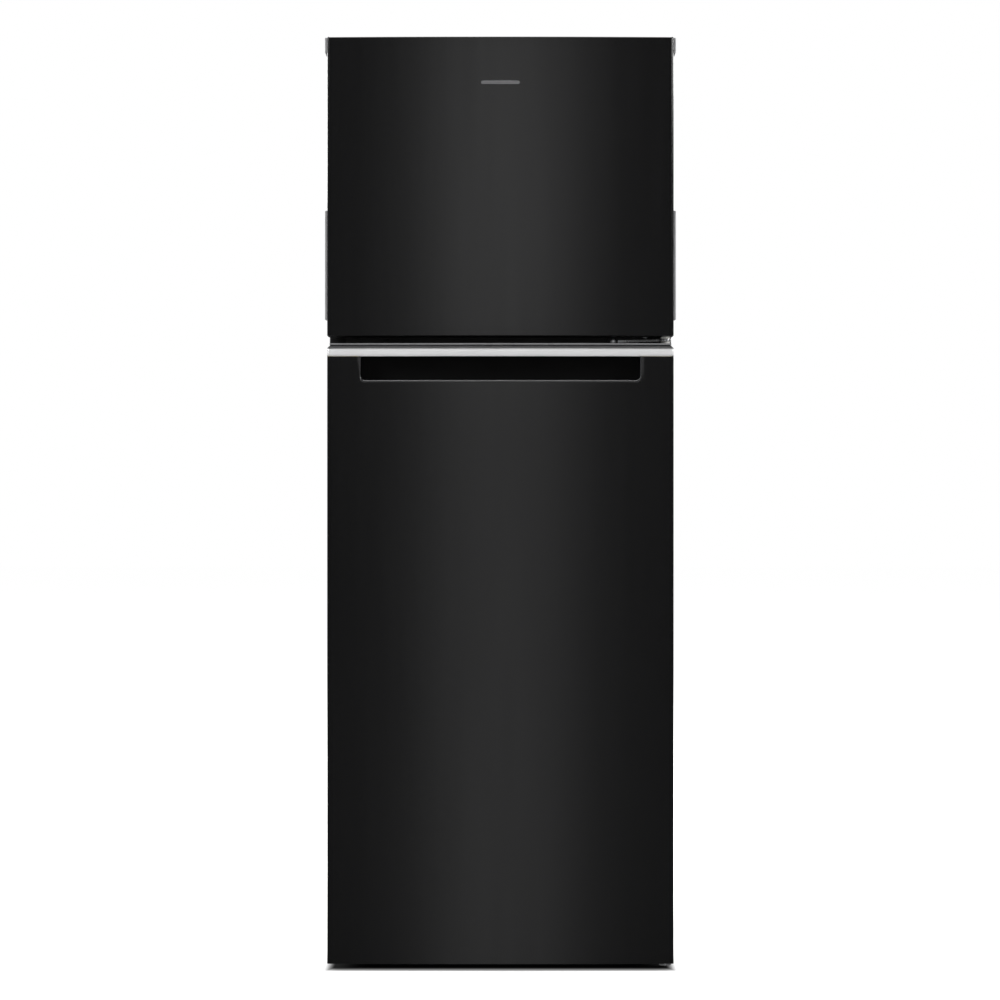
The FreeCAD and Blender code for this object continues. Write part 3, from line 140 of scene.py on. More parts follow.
def makeFloor():
    bm = bmesh.new()
    bmesh.ops.create_grid(bm, x_segments=2, y_segments=2, size=studio["floorSize"] / 2)
    mesh = bpy.data.meshes.new("studioFloor")
    bm.to_mesh(mesh)
    bm.free()
    floor = bpy.data.objects.new("studioFloor", mesh)
    floor.visible_glossy = False   # the doors' gloss shows the strip lamps, not the floor
    floor.visible_shadow = False
    bpy.context.scene.collection.objects.link(floor)
    paint = bpy.data.materials.new("floorPaint")
    paint.use_nodes = True
    tree = paint.node_tree
    shader = tree.nodes["Principled BSDF"]
    shader.inputs["Roughness"].default_value = studio["floorRough"]
    shader.inputs["Specular IOR Level"].default_value = studio["floorShine"]
    # painted shadow: under the cabinet the floor's colour is painted dark and the lift fades out, with a soft edge
    # just past the cabinet's sides and front
    place = tree.nodes.new("ShaderNodeTexCoord")
    split = tree.nodes.new("ShaderNodeSeparateXYZ")
    tree.links.new(place.outputs["Object"], split.inputs[0])
    reach = []
    for axis, half, paintedShadowEdge in zip("XY", studio["footprint"], studio["footprintFade"]):
        size = tree.nodes.new("ShaderNodeMath")
        size.operation = "ABSOLUTE"
        tree.links.new(split.outputs[axis], size.inputs[0])
        past = tree.nodes.new("ShaderNodeMapRange")
        past.interpolation_type = "SMOOTHSTEP"
        past.inputs["From Min"].default_value = half - paintedShadowEdge / 2
        past.inputs["From Max"].default_value = half + paintedShadowEdge / 2
        tree.links.new(size.outputs[0], past.inputs["Value"])
        reach.append(past)
    outsidePaintedShadow = tree.nodes.new("ShaderNodeMath")
    outsidePaintedShadow.operation = "MAXIMUM"
    tree.links.new(reach[0].outputs["Result"], outsidePaintedShadow.inputs[0])
    tree.links.new(reach[1].outputs["Result"], outsidePaintedShadow.inputs[1])
    # the floor's colour is painted dark inside the painted shadow
    paintedShadowFloorColour = tree.nodes.new("ShaderNodeCombineColor")
    for channel, level in zip(("Red", "Green", "Blue"), studio["floorColour"]):
        share = tree.nodes.new("ShaderNodeMath")
        share.operation = "MULTIPLY"
        share.inputs[1].default_value = level
        tree.links.new(outsidePaintedShadow.outputs[0], share.inputs[0])
        tree.links.new(share.outputs[0], paintedShadowFloorColour.inputs[channel])
    tree.links.new(paintedShadowFloorColour.outputs[0], shader.inputs["Base Color"])
    path = tree.nodes.new("ShaderNodeLightPath")
    seen = tree.nodes.new("ShaderNodeMath")
    seen.operation = "MULTIPLY"
    tree.links.new(outsidePaintedShadow.outputs[0], seen.inputs[0])
    tree.links.new(path.outputs["Is Camera Ray"], seen.inputs[1])
    strength = tree.nodes.new("ShaderNodeMath")
    strength.operation = "MULTIPLY"
    strength.inputs[1].default_value = studio["floorGlow"]
    tree.links.new(seen.outputs[0], strength.inputs[0])
    shader.inputs["Emission Color"].default_value = (1, 1, 1, 1)
    tree.links.new(strength.outputs[0], shader.inputs["Emission Strength"])
    mesh.materials.append(paint)


makeCamera()
makeLamps()
makeSurround()
makeFloor()
bpy.context.scene.view_settings.view_transform = "Standard"
print("studio ready")


# colour and dark colour are mixed by a soft noise; rough is its low and high value.
# stretch squeezes the noise along X, Y, Z, so a large value on an axis is fine across it.
finishes = {
    "blackCoat": {"colour": (0.0026, 0.0026, 0.0028), "dark": (0.0019, 0.0019, 0.0021), "rough": (0.155, 0.18),
                  "scale": 5.0, "stretch": (9.0, 9.0, 0.5), "bump": 0.012, "grain": 90.0,
                  "grainStretch": (1.0, 1.0, 0.06)},
    "blackMoulding": {"colour": (0.016, 0.016, 0.017), "dark": (0.010, 0.010, 0.011), "rough": (0.42, 0.52),
                      "scale": 40.0, "bump": 0.06, "grain": 1600.0},
    "greyMoulding": {"colour": (0.27, 0.27, 0.275), "dark": (0.22, 0.22, 0.225), "rough": (0.46, 0.56),
                     "scale": 50.0, "bump": 0.08, "grain": 1500.0},
    "silverBand": {"colour": (0.95, 0.95, 0.955), "dark": (0.86, 0.86, 0.865), "rough": (0.30, 0.42), "metal": 0.50,
                   "scale": 8.0, "stretch": (1.0, 60.0, 60.0), "bump": 0.10, "grain": 60.0,
                   "grainStretch": (1.0, 60.0, 60.0)},
    "zincSteel": {"colour": (0.80, 0.81, 0.82), "dark": (0.62, 0.63, 0.64), "rough": (0.20, 0.34), "metal": 0.95,
                  "scale": 60.0, "bump": 0.05, "grain": 900.0},
    "galvanized": {"colour": (0.56, 0.58, 0.59), "dark": (0.46, 0.48, 0.49), "rough": (0.34, 0.52), "metal": 0.8,
                   "scale": 130.0, "cells": True, "bump": 0.03, "grain": 500.0},
    "cabinetCoat": {"colour": (0.0062, 0.0062, 0.0065), "dark": (0.0054, 0.0054, 0.0057), "rough": (0.44, 0.47),
                    "scale": 45.0, "bump": 0.16, "grain": 620.0, "specular": 0.32},
    "cupShadow": {"colour": (0.0022, 0.0022, 0.0023), "dark": (0.0016, 0.0016, 0.0017), "rough": (0.45, 0.55),
                  "scale": 30.0, "bump": 0.04, "grain": 1200.0, "specular": 0.16},
    # painted highlight: the bead round the handle cup is the same black plastic as the cup, coloured lighter to
    # stand in for the light along its rim
    "cupBead": {"colour": (0.030, 0.030, 0.031), "dark": (0.022, 0.022, 0.023), "rough": (0.16, 0.22),
                "scale": 30.0, "bump": 0.02, "grain": 900.0, "specular": 0.8},
    # painted highlight: light grey standing in for the light along the lower door's rounded top lip, which is part
    # of the black cap
    "lipGrey": {"colour": (0.20, 0.20, 0.205), "dark": (0.17, 0.17, 0.175), "rough": (0.25, 0.32),
                "scale": 30.0, "bump": 0.02, "grain": 900.0},
    "badgeMetal": {"colour": (0.30, 0.30, 0.31), "dark": (0.24, 0.24, 0.25), "rough": (0.25, 0.35), "metal": 0.8,
                   "scale": 60.0, "stretch": (1.0, 20.0, 20.0), "bump": 0.04, "grain": 300.0,
                   "grainStretch": (1.0, 20.0, 20.0)},
    "railPaint": {"colour": (0.008, 0.008, 0.009), "dark": (0.005, 0.005, 0.005), "rough": (0.40, 0.48),
                  "scale": 20.0, "bump": 0.04, "grain": 900.0},
    "nylon": {"colour": (0.80, 0.79, 0.75), "dark": (0.70, 0.69, 0.65), "rough": (0.35, 0.45), "scale": 80.0,
              "bump": 0.02, "grain": 900.0, "subsurface": 0.1},
    "linerWhite": {"colour": (0.82, 0.84, 0.85), "dark": (0.77, 0.79, 0.80), "rough": (0.26, 0.34), "scale": 7.0,
                   "bump": 0.04, "grain": 700.0, "subsurface": 0.04},
    "trimWhite": {"colour": (0.74, 0.75, 0.76), "dark": (0.68, 0.69, 0.70), "rough": (0.38, 0.48), "scale": 30.0,
                  "bump": 0.05, "grain": 1300.0},
    "sealRubber": {"colour": (0.20, 0.20, 0.205), "dark": (0.15, 0.15, 0.155), "rough": (0.62, 0.75), "scale": 60.0,
                   "bump": 0.08, "grain": 900.0},
    "foam": {"colour": (0.80, 0.68, 0.38), "dark": (0.66, 0.54, 0.28), "rough": (0.8, 0.92), "scale": 120.0,
             "cells": True, "bump": 0.5, "grain": 350.0},
    "enamel": {"colour": (0.010, 0.010, 0.010), "dark": (0.006, 0.006, 0.006), "rough": (0.22, 0.34), "scale": 25.0,
               "bump": 0.04, "grain": 500.0},
    "copper": {"colour": (0.72, 0.34, 0.18), "dark": (0.45, 0.20, 0.11), "rough": (0.22, 0.42), "metal": 1.0,
               "scale": 30.0, "bump": 0.04, "grain": 400.0},
    "aluminium": {"colour": (0.74, 0.75, 0.76), "dark": (0.60, 0.61, 0.62), "rough": (0.28, 0.42), "metal": 1.0,
                  "scale": 60.0, "bump": 0.05, "grain": 700.0},
    "motorCase": {"colour": (0.16, 0.16, 0.17), "dark": (0.10, 0.10, 0.11), "rough": (0.34, 0.46), "metal": 0.6,
                  "scale": 40.0, "bump": 0.04, "grain": 800.0},
    "clearPlastic": {"colour": (0.965, 0.975, 0.98), "dark": (0.93, 0.945, 0.95), "rough": (0.06, 0.14),
                     "scale": 12.0, "bump": 0.02, "grain": 60.0, "clear": 0.92, "ior": 1.49},
    "shelfGlass": {"colour": (0.78, 0.92, 0.87), "dark": (0.72, 0.88, 0.82), "rough": (0.02, 0.05), "scale": 3.0,
                   "bump": 0.004, "grain": 12.0, "clear": 0.96, "ior": 1.52},
    "frostedLens": {"colour": (0.93, 0.93, 0.90), "dark": (0.88, 0.88, 0.85), "rough": (0.45, 0.60), "scale": 60.0,
                    "bump": 0.10, "grain": 1200.0, "clear": 0.45, "ior": 1.49},
}


def makeFinish(name, values):
    paint = bpy.data.materials.new(name)
    paint.use_nodes = True
    tree = paint.node_tree
    shader = tree.nodes["Principled BSDF"]
    shader.inputs["Metallic"].default_value = values.get("metal", 0.0)
    shader.inputs["Specular IOR Level"].default_value = values.get("specular", 0.5)
    if "clear" in values:
        shader.inputs["Transmission Weight"].default_value = values["clear"]
        shader.inputs["IOR"].default_value = values["ior"]
    if "subsurface" in values:
        shader.inputs["Subsurface Weight"].default_value = values["subsurface"]
        shader.inputs["Subsurface Radius"].default_value = (0.004, 0.004, 0.004)
    place = tree.nodes.new("ShaderNodeTexCoord")
    turn = tree.nodes.new("ShaderNodeMapping")
    turn.inputs["Scale"].default_value = values.get("stretch", (1.0, 1.0, 1.0))
    tree.links.new(place.outputs["Object"], turn.inputs["Vector"])
    if values.get("cells"):
        cloud = tree.nodes.new("ShaderNodeTexVoronoi")
        fieldOut = cloud.outputs["Color"]
    else:
        cloud = tree.nodes.new("ShaderNodeTexNoise")
        cloud.inputs["Detail"].default_value = 5.0
        fieldOut = cloud.outputs["Fac"]
    cloud.inputs["Scale"].default_value = values["scale"]
    tree.links.new(turn.outputs["Vector"], cloud.inputs["Vector"])
    ramp = tree.nodes.new("ShaderNodeMapRange")
    ramp.inputs["From Min"].default_value = 0.25
    ramp.inputs["From Max"].default_value = 0.75
    ramp.inputs["To Min"].default_value = values["rough"][0]
    ramp.inputs["To Max"].default_value = values["rough"][1]
    tree.links.new(fieldOut, ramp.inputs["Value"])
    tree.links.new(ramp.outputs["Result"], shader.inputs["Roughness"])
    blend = tree.nodes.new("ShaderNodeMix")
    blend.data_type = "RGBA"
    for socket in blend.inputs:
        if socket.type == "RGBA":
            socket.default_value = (*values["dark" if socket.name == "A" else "colour"], 1)
    tree.links.new(fieldOut, blend.inputs["Factor"])
    tree.links.new(blend.outputs[2], shader.inputs["Base Color"])
    fineTurn = tree.nodes.new("ShaderNodeMapping")
    fineTurn.inputs["Scale"].default_value = values.get("grainStretch", (1.0, 1.0, 1.0))
    tree.links.new(place.outputs["Object"], fineTurn.inputs["Vector"])
    grain = tree.nodes.new("ShaderNodeTexNoise")
    grain.inputs["Scale"].default_value = values["grain"]
    grain.inputs["Detail"].default_value = 2.0
    tree.links.new(fineTurn.outputs["Vector"], grain.inputs["Vector"])
    bump = tree.nodes.new("ShaderNodeBump")
    bump.inputs["Strength"].default_value = values["bump"]
    bump.inputs["Distance"].default_value = 0.001
    tree.links.new(grain.outputs["Fac"], bump.inputs["Height"])
    tree.links.new(bump.outputs["Normal"], shader.inputs["Normal"])
    return paint


paints = {name: makeFinish(name, values) for name, values in finishes.items()}

# which finish each slot of the record gets
slotFinish = {
    "black_coat": "blackCoat", "galvanized": "galvanized", "rail_paint": "railPaint",
    "hinge_steel": "zincSteel", "washer_nylon": "nylon", "bush_acetal": "blackMoulding",
    "foam": "foam", "liner_white": "linerWhite", "gasket_grey": "sealRubber", "cap_grey": "greyMoulding",
    "cap_black": "blackMoulding", "cup_black": "cupShadow", "trim_silver": "silverBand",
    "clear_plastic": "clearPlastic", "shelf_glass": "shelfGlass", "trim_white": "trimWhite",
    "lens": "frostedLens", "compressor_black": "enamel", "copper": "copper", "aluminium": "aluminium",
    "fan_plastic": "blackMoulding", "motor": "motorCase",
}
slotOf = {part["node"]: part["material_slot"] for part in frame["record"]["subparts"]}
for nodeName, thing in nodes.items():
    thing.data.materials.clear()
    thing.data.materials.append(paints[slotFinish[slotOf[nodeName]]])
print("finishes ready:", len(paints))


# every new piece gets its shading, finish and body here; its slot only picks the finish
def makePiece(bm, name, body, slot, replaced, paint=None, sharp=38, weighted=True):
    mesh = bpy.data.meshes.new(name)
    bm.to_mesh(mesh)
    bm.free()
    mesh.polygons.foreach_set("use_smooth", [True] * len(mesh.polygons))
    mesh.set_sharp_from_angle(angle=math.radians(sharp))
    mesh.materials.append(paints[paint or slotFinish[slot]])
    piece = bpy.data.objects.new(name, mesh)
    bpy.context.scene.collection.objects.link(piece)
    if weighted:
        evener = piece.modifiers.new("evenNormals", "WEIGHTED_NORMAL")
        evener.keep_sharp = True
    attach(piece, body)
    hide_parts(*replaced)
    return piece


def vertsOf(things):
    return [thing for thing in things if isinstance(thing, bmesh.types.BMVert)]


def edgesOf(things):
    return [thing for thing in things if isinstance(thing, bmesh.types.BMEdge)]


def closeUp(bm, distance=1e-5):
    bmesh.ops.remove_doubles(bm, verts=bm.verts, dist=distance)
    bmesh.ops.recalc_face_normals(bm, faces=bm.faces)


def roundOff(bm, geom, width, segments, affect="EDGES", clamped=False):
    bmesh.ops.bevel(bm, geom=geom, offset=width, offset_type="OFFSET", segments=segments, profile=0.5,
                    affect=affect, clamp_overlap=clamped, material=-1)


# edges whose two faces turn by more than an angle in degrees
def foldedEdges(bm, angle):
    limit = math.radians(angle)
    return [edge for edge in bm.edges if len(edge.link_faces) == 2 and edge.calc_face_angle(0) > limit]


# faces a sheet so that its front looks along a direction
def faceAlong(bm, face, way):
    if face.normal.dot(Vector(way)) < 0:
        bmesh.ops.reverse_faces(bm, faces=bm.faces)


bodyOf = {node: body for body, held in frame["record"]["behaviour"]["bodies"].items() for node in held}
easing = {
    "mergeWithin": 2e-6,
    "flat": 0.6,            # degrees; faces that turn by less become one
    "folded": 35,           # degrees; edges that turn by more are eased
    "segments": 2,
    # nodes with corners so pointed that an eased edge would run past them
    "pointed": ("lower_door_top_cap", "upper_door_grips"),
}


# a CAD node's own shape with its sharp edges eased, as moulded and bent parts have
def easeNode(nodeName, width):
    bm = bmesh.new()
    bm.from_mesh(nodes[nodeName].data)
    bmesh.ops.remove_doubles(bm, verts=bm.verts, dist=easing["mergeWithin"])
    bmesh.ops.dissolve_limit(bm, angle_limit=math.radians(easing["flat"]), verts=bm.verts, edges=bm.edges)
    roundOff(bm, foldedEdges(bm, easing["folded"]), width, easing["segments"],
             clamped=nodeName in easing["pointed"])
    words = nodeName.split("_")
    name = words[0] + "".join(word.capitalize() for word in words[1:]) + "Eased"
    return makePiece(bm, name, bodyOf[nodeName], slotOf[nodeName], [nodeName])


# nodes whose shape is right, with the width of the eased edge in millimetres
easedEdges = {
    "hinge_cover": 0.6, "top_hinge": 0.5, "middle_hinge": 0.5, "bottom_hinge": 0.5, "front_rails": 0.3,
    "lower_door_top_cap": 0.35, "upper_door_top_cap": 0.5, "upper_door_grips": 0.6,
    "upper_door_bottom_cap": 0.5, "lower_door_bottom_cap": 0.5, "freezer_liner": 0.5, "fridge_liner": 0.5,
    "upper_door_liner": 0.8, "lower_door_liner": 0.8, "upper_door_bins": 0.6, "lower_door_bins": 0.6,
    "shelf_trims": 0.6, "crisper_drawer": 0.7, "humidity_slider": 0.4, "control_housing": 0.5,
    "control_knob": 0.4, "lamp_lens": 0.4, "evaporator_cover": 0.35, "compressor": 0.6,
    "compressor_tray": 0.4, "terminal_cover": 0.5, "drain_pan": 0.4, "power_inlet": 0.5,
    "roller_frames": 0.4, "hinge_washers": 0.3, "shelf_glass": 0.5, "fan_motor": 0.4,
}
eased = {}
for nodeName, width in easedEdges.items():
    eased[nodeName] = easeNode(nodeName, width * 0.001)


# gives the faces that a test picks a second finish
def refinish(piece, paint, wanted):
    piece.data.materials.append(paints[paint])
    for face in piece.data.polygons:
        if wanted(face.center):
            face.material_index = len(piece.data.materials) - 1


secondFinish = {
    "lip": 0.0026,          # height of the lower door's lip, which gets a painted highlight
    "leg": 0.0032,          # thickness of the middle hinge's leg on the rail
}
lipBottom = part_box("lower_door_top_cap")[1][2] - secondFinish["lip"]
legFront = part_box("front_rails")[0][1] - secondFinish["leg"]
# painted highlight: the top of the lower door's black cap gets a light grey finish for the light along its lip
refinish(eased["lower_door_top_cap"], "lipGrey", lambda centre: centre.z > lipBottom)
# painted shade: the middle hinge's leg on the rail gets the rails' black paint instead of zinc, standing in for the
# shade in the gap between the doors
refinish(eased["middle_hinge"], "railPaint", lambda centre: centre.y > legFront)
print("eased nodes:", len(easedEdges))


doorShape = {
    "crown": 0.0055,        # rise of the front over its side edges
    "corner": 0.005,        # rounding between front and sides
    "cornerSteps": 8,
    "steps": 72,            # facets of the crowned front
    "edgeRoll": 0.0007,     # rounding of the sheet's top and bottom edges
    "sheet": 0.0008,
    "cutBack": 0.0125,      # how far behind the front the ear and grip cut-outs begin
    "cutDepth": 0.002,      # how far they reach in from the door's side
    "past": 0.01,           # how far a cut runs past the sheet
    "folded": 57,           # degrees; edges that turn by more are rounded
}


# open outline of a door seen from above, lofted through levels of (height, inset)
def crownLoft(half, faceY, backY, levels, corner):
    rise = doorShape["crown"]
    radius = (half * half + rise * rise) / (2 * rise)
    bm = bmesh.new()
    z, inset = levels[0]
    start = bm.verts.new((-half, faceY + rise, z))
    spun = bmesh.ops.spin(bm, geom=[start], cent=(0, faceY + radius, 0), axis=(0, 0, 1),
                          angle=2 * math.asin(half / radius), steps=doorShape["steps"], use_merge=False)
    end = vertsOf(spun["geom_last"])[0]
    tips = bmesh.ops.extrude_vert_indiv(bm, verts=[start, end])["verts"]
    for tip in tips:
        tip.co.y = backY
    front = [vert for vert in bm.verts if vert not in tips]
    bmesh.ops.scale(bm, verts=bm.verts[:], vec=((half - inset) / half, 1, 1))
    bmesh.ops.translate(bm, verts=front, vec=(0, inset, 0))
    edges = bm.edges[:]
    for nextZ, nextInset in levels[1:]:
        grown = bmesh.ops.extrude_edge_only(bm, edges=edges)["geom"]
        edges, ring = edgesOf(grown), vertsOf(grown)
        front = [vert for vert in ring if abs(vert.co.y - backY) > 1e-6]
        bmesh.ops.scale(bm, verts=ring, vec=((half - nextInset) / (half - inset), 1, 1))
        bmesh.ops.translate(bm, verts=front, vec=(0, nextInset - inset, 0))
        bmesh.ops.translate(bm, verts=ring, vec=(0, 0, nextZ - z))
        z, inset = nextZ, nextInset
    if corner:
        bm.normal_update()
        upright = [edge for edge in foldedEdges(bm, doorShape["folded"])
                   if abs(edge.verts[0].co.x - edge.verts[1].co.x) < 0.002
                   and abs(edge.verts[0].co.z - edge.verts[1].co.z) > 1e-6]
        roundOff(bm, upright, corner, doorShape["cornerSteps"])
    bmesh.ops.recalc_face_normals(bm, faces=bm.faces)
    bm.faces.ensure_lookup_table()
    if sum(face.normal.y * face.calc_area() for face in bm.faces) > 0:
        bmesh.ops.reverse_faces(bm, faces=bm.faces)
    return bm


# cuts the sheet at a box's sides and takes out what lies in it
def cutOut(bm, low, high):
    for axis in range(3):
        for place in (low[axis], high[axis]):
            spot, way = Vector((0, 0, 0)), Vector((0, 0, 0))
            spot[axis], way[axis] = place, 1
            bmesh.ops.bisect_plane(bm, geom=bm.verts[:] + bm.edges[:] + bm.faces[:], dist=1e-6,
                                   plane_co=spot, plane_no=way)
    inside = []
    for face in bm.faces:
        middle = face.calc_center_median()
        if all(low[axis] < middle[axis] < high[axis] for axis in range(3)):
            inside.append(face)
    bmesh.ops.delete(bm, geom=inside, context="FACES")


# gives a sheet its thickness, inward of its front
def thicken(piece, thickness):
    wall = piece.modifiers.new("wall", "SOLIDIFY")
    wall.thickness = thickness
    wall.offset = -1
    piece.modifiers.move(len(piece.modifiers) - 1, 0)
    return piece


# painted sheet of a door with its openings
def doorPanel(name, node, body, cuts):
    low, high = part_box(node)
    roll = doorShape["edgeRoll"]
    levels = [(low[2], roll), (low[2] + roll * 0.35, roll * 0.3), (low[2] + roll, 0),
              (high[2] - roll, 0), (high[2] - roll * 0.35, roll * 0.3), (high[2], roll)]
    bm = crownLoft(high[0], low[1], high[1], levels, doorShape["corner"])
    for cutLow, cutHigh in cuts:
        cutOut(bm, cutLow, cutHigh)
    piece = makePiece(bm, name, body, slotOf[node], [node], sharp=50)
    return thicken(piece, doorShape["sheet"])


def upperPanel():
    low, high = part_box("upper_door_skin")
    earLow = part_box("upper_door_top_cap")[0]
    gripLow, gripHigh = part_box("upper_door_grips")
    cutY = low[1] + doorShape["cutBack"]
    reach = doorShape["past"]
    cuts = []
    for side in (-1, 1):
        near, far = sorted((side * (high[0] - doorShape["cutDepth"]), side * (high[0] + reach)))
        cuts.append(((near, cutY, earLow[2]), (far, high[1] + reach, high[2] + reach)))
        cuts.append(((near, cutY, gripLow[2]), (far, gripHigh[1], gripHigh[2])))
    return doorPanel("upperPanel", "upper_door_skin", "freezer_door", cuts)


cupShape = {
    "half": 0.2387,         # mouth, half width
    "corner": 0.0075,
    "rimOut": 0.0036,       # how far the bead reaches past the mouth, below it
    "rimSide": 0.5,         # share of that at its sides
    "rimRise": 0.0006,      # and how far it stands in front of the door
    "mouthBottom": 0.0053,  # mouth's lower edge above the cup's underside
    "holeSide": 0.001,      # the door's hole reaches this far past the mouth at its sides
    "holeBelow": 0.0015,    # and below
    "wall": 0.002,
    "sheet": 0.0012,
    "foot": 0.0012,         # the bead's outer edge behind the door's front
    "beadDepth": 0.0013,    # faces nearer to the front than this belong to the bead
    "beadEnd": 0.0008,      # the bead's inner edge behind the door's front
    "roomFront": (0.0068, 0.0072),   # the finger room's front, behind the door's front
    "reach": 0.009,         # finger room behind the trim
    "draft": 0.0012,
    "cornerSteps": 8,
    "cuts": 48,
}


def lowerPanel():
    low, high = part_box("lower_door_skin")
    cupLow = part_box("handle_cup")[0]
    half, past = cupShape["half"] + cupShape["holeSide"], doorShape["past"]
    bottom = cupLow[2] + cupShape["mouthBottom"] - cupShape["holeBelow"]
    hole = ((-half, low[1] - past, bottom), (half, low[1] + 2 * past, high[2] + past))
    return doorPanel("lowerPanel", "lower_door_skin", "fridge_door", [hole])


# place of the crowned front at x
def crownAt(x, faceY, half):
    rise = doorShape["crown"]
    radius = (half * half + rise * rise) / (2 * rise)
    return faceY + radius - math.sqrt(radius * radius - x * x)


# a bead round the mouth, drafted walls, a flat back and the finger room behind the trim
def handleCup():
    skinLow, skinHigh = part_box("lower_door_skin")
    cupLow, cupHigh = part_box("handle_cup")
    top = skinHigh[2]
    width = cupShape["half"]
    height = top - cupLow[2] - cupShape["mouthBottom"]
    back = cupHigh[1] - cupShape["wall"]
    bm = bmesh.new()
    corners = [(-width, top), (-width, top - height), (width, top - height), (width, top)]
    verts = [bm.verts.new((x, 0, z)) for x, z in corners]
    bm.faces.new(verts)
    roundOff(bm, [verts[1], verts[2]], cupShape["corner"], cupShape["cornerSteps"], affect="VERTICES")
    lid = [edge for edge in bm.edges if all(abs(vert.co.z - top) < 1e-6 for vert in edge.verts)]
    bmesh.ops.delete(bm, geom=lid, context="EDGES")
    longest = max(bm.edges, key=lambda edge: edge.calc_length())
    bmesh.ops.subdivide_edges(bm, edges=[longest], cuts=cupShape["cuts"])
    out, rise = cupShape["rimOut"], cupShape["rimRise"]
    # outset from the mouth, place behind the door's front (or None at the back wall), lift of the top edge
    levels = [(out, cupShape["foot"], 0), (out, -rise * 0.3, 0), (out * 0.85, -rise * 0.85, 0),
              (out * 0.62, -rise, 0), (out * 0.35, -rise * 0.85, 0), (out * 0.15, -rise * 0.2, 0),
              (0, cupShape["beadEnd"], 0), (0, cupShape["roomFront"][0], 0),
              (0, cupShape["roomFront"][1], cupShape["reach"]),
              (-cupShape["draft"], None, cupShape["reach"])]
    edges, ring = bm.edges[:], bm.verts[:]
    outline = [vert.co.copy() for vert in ring]
    roofEdges = []
    for number, (outset, depth, lift) in enumerate(levels):
        if number:
            before = ring
            grown = bmesh.ops.extrude_edge_only(bm, edges=edges)["geom"]
            edges = edgesOf(grown)
            order = {tuple(round(n, 9) for n in vert.co): vert for vert in vertsOf(grown)}
            ring = [order[tuple(round(n, 9) for n in vert.co)] for vert in before]
        for vert, flat in zip(ring, outline):
            sideways = outset * cupShape["rimSide"] if outset > 0 else outset
            vert.co.x = flat.x * (width + sideways) / width
            vert.co.z = top - (top - flat.z) * (height + outset) / height
            if abs(flat.z - top) < 1e-6:
                vert.co.z = top + lift
            vert.co.y = back if depth is None else crownAt(vert.co.x, skinLow[1], skinHigh[0]) + depth
        tops = [vert for vert, flat in zip(ring, outline) if abs(flat.z - top) < 1e-6]
        if lift:
            roofEdges.append(sorted(tops, key=lambda vert: vert.co.x))
    (a, b), (c, d) = roofEdges
    bm.faces.new([a, b, d, c])
    bmesh.ops.edgenet_fill(bm, edges=edges + [edge for edge in d.link_edges if edge.other_vert(d) is c])
    bmesh.ops.recalc_face_normals(bm, faces=bm.faces)
    backFace = [face for face in bm.faces if all(abs(vert.co.y - back) < 1e-6 for vert in face.verts)]
    if backFace and backFace[0].normal.y > 0:
        bmesh.ops.reverse_faces(bm, faces=bm.faces)
    piece = makePiece(bm, "handleCup", "fridge_door", slotOf["handle_cup"], ["handle_cup"], sharp=50)
    mesh = piece.data
    # painted highlight: the bead's faces get the lighter finish; the rest of the cup keeps the darker cup finish,
    # painted shade for the recess
    mesh.materials.append(paints["cupBead"])
    for face in mesh.polygons:
        spots = [mesh.vertices[index].co for index in face.vertices]
        if max(spot.y - crownAt(spot.x, skinLow[1], skinHigh[0]) for spot in spots) < cupShape["beadDepth"]:
            face.material_index = 1
    return thicken(piece, cupShape["sheet"])


trimShape = {
    # height up the trim as a share, inset in metres: a softly rounded bar
    "profile": ((0.0, 0.0016), (0.05, 0.0009), (0.14, 0.0004), (0.30, 0.0001), (0.55, 0.0),
                (0.80, 0.0001), (0.92, 0.0004), (1.0, 0.0010)),
    "corner": 0.0042,
    "wall": 0.0022,
}


def silverTrim():
    low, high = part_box("lower_door_trim")
    levels = [(low[2] + share * (high[2] - low[2]), inset) for share, inset in trimShape["profile"]]
    bm = crownLoft(high[0], low[1], high[1], levels, trimShape["corner"])
    piece = makePiece(bm, "silverTrim", "fridge_door", "trim_silver", ["lower_door_trim"], sharp=60)
    return thicken(piece, trimShape["wall"])


# ring through levels of (inset, depth), closed on itself: a door seal with its folds
gasketShape = {
    "profile": ((0.0, 0.0), (0.0006, 0.0012), (0.0, 0.0024), (0.0014, 0.0034), (0.0002, 0.0048),
                (0.0012, 0.0060), (0.0024, 0.0077), (0.0070, 0.00735), (0.0116, 0.0077), (0.0128, 0.0060),
                (0.0138, 0.0048), (0.0126, 0.0034), (0.0140, 0.0024), (0.0134, 0.0012), (0.0140, 0.0)),
    "corner": 0.0035,
}


def doorSeal(name, node, body):
    low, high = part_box(node)
    midX, midZ = (low[0] + high[0]) / 2, (low[2] + high[2]) / 2
    halfX, halfZ = (high[0] - low[0]) / 2, (high[2] - low[2]) / 2
    depthScale = (high[1] - low[1]) / max(depth for inset, depth in gasketShape["profile"])
    bm = bmesh.new()
    rings = []
    for inset, depth in gasketShape["profile"]:
        x, z, y = halfX - inset, halfZ - inset, low[1] + depth * depthScale
        spots = ((-x, -z), (x, -z), (x, z), (-x, z))
        ring = [bm.verts.new((midX + dx, y, midZ + dz)) for dx, dz in spots]
        rings.append([bm.edges.new((ring[i], ring[(i + 1) % 4])) for i in range(4)])
    for first, second in zip(rings, rings[1:] + rings[:1]):
        bmesh.ops.bridge_loops(bm, edges=first + second)
    mitres = [edge for edge in bm.edges if not any(edge in ring for ring in rings)]
    roundOff(bm, mitres, gasketShape["corner"], 3, clamped=True)
    closeUp(bm)
    return makePiece(bm, name, body, slotOf[node], [node], sharp=60)


badgeShape = {"segments": 30, "edge": 0.0003}


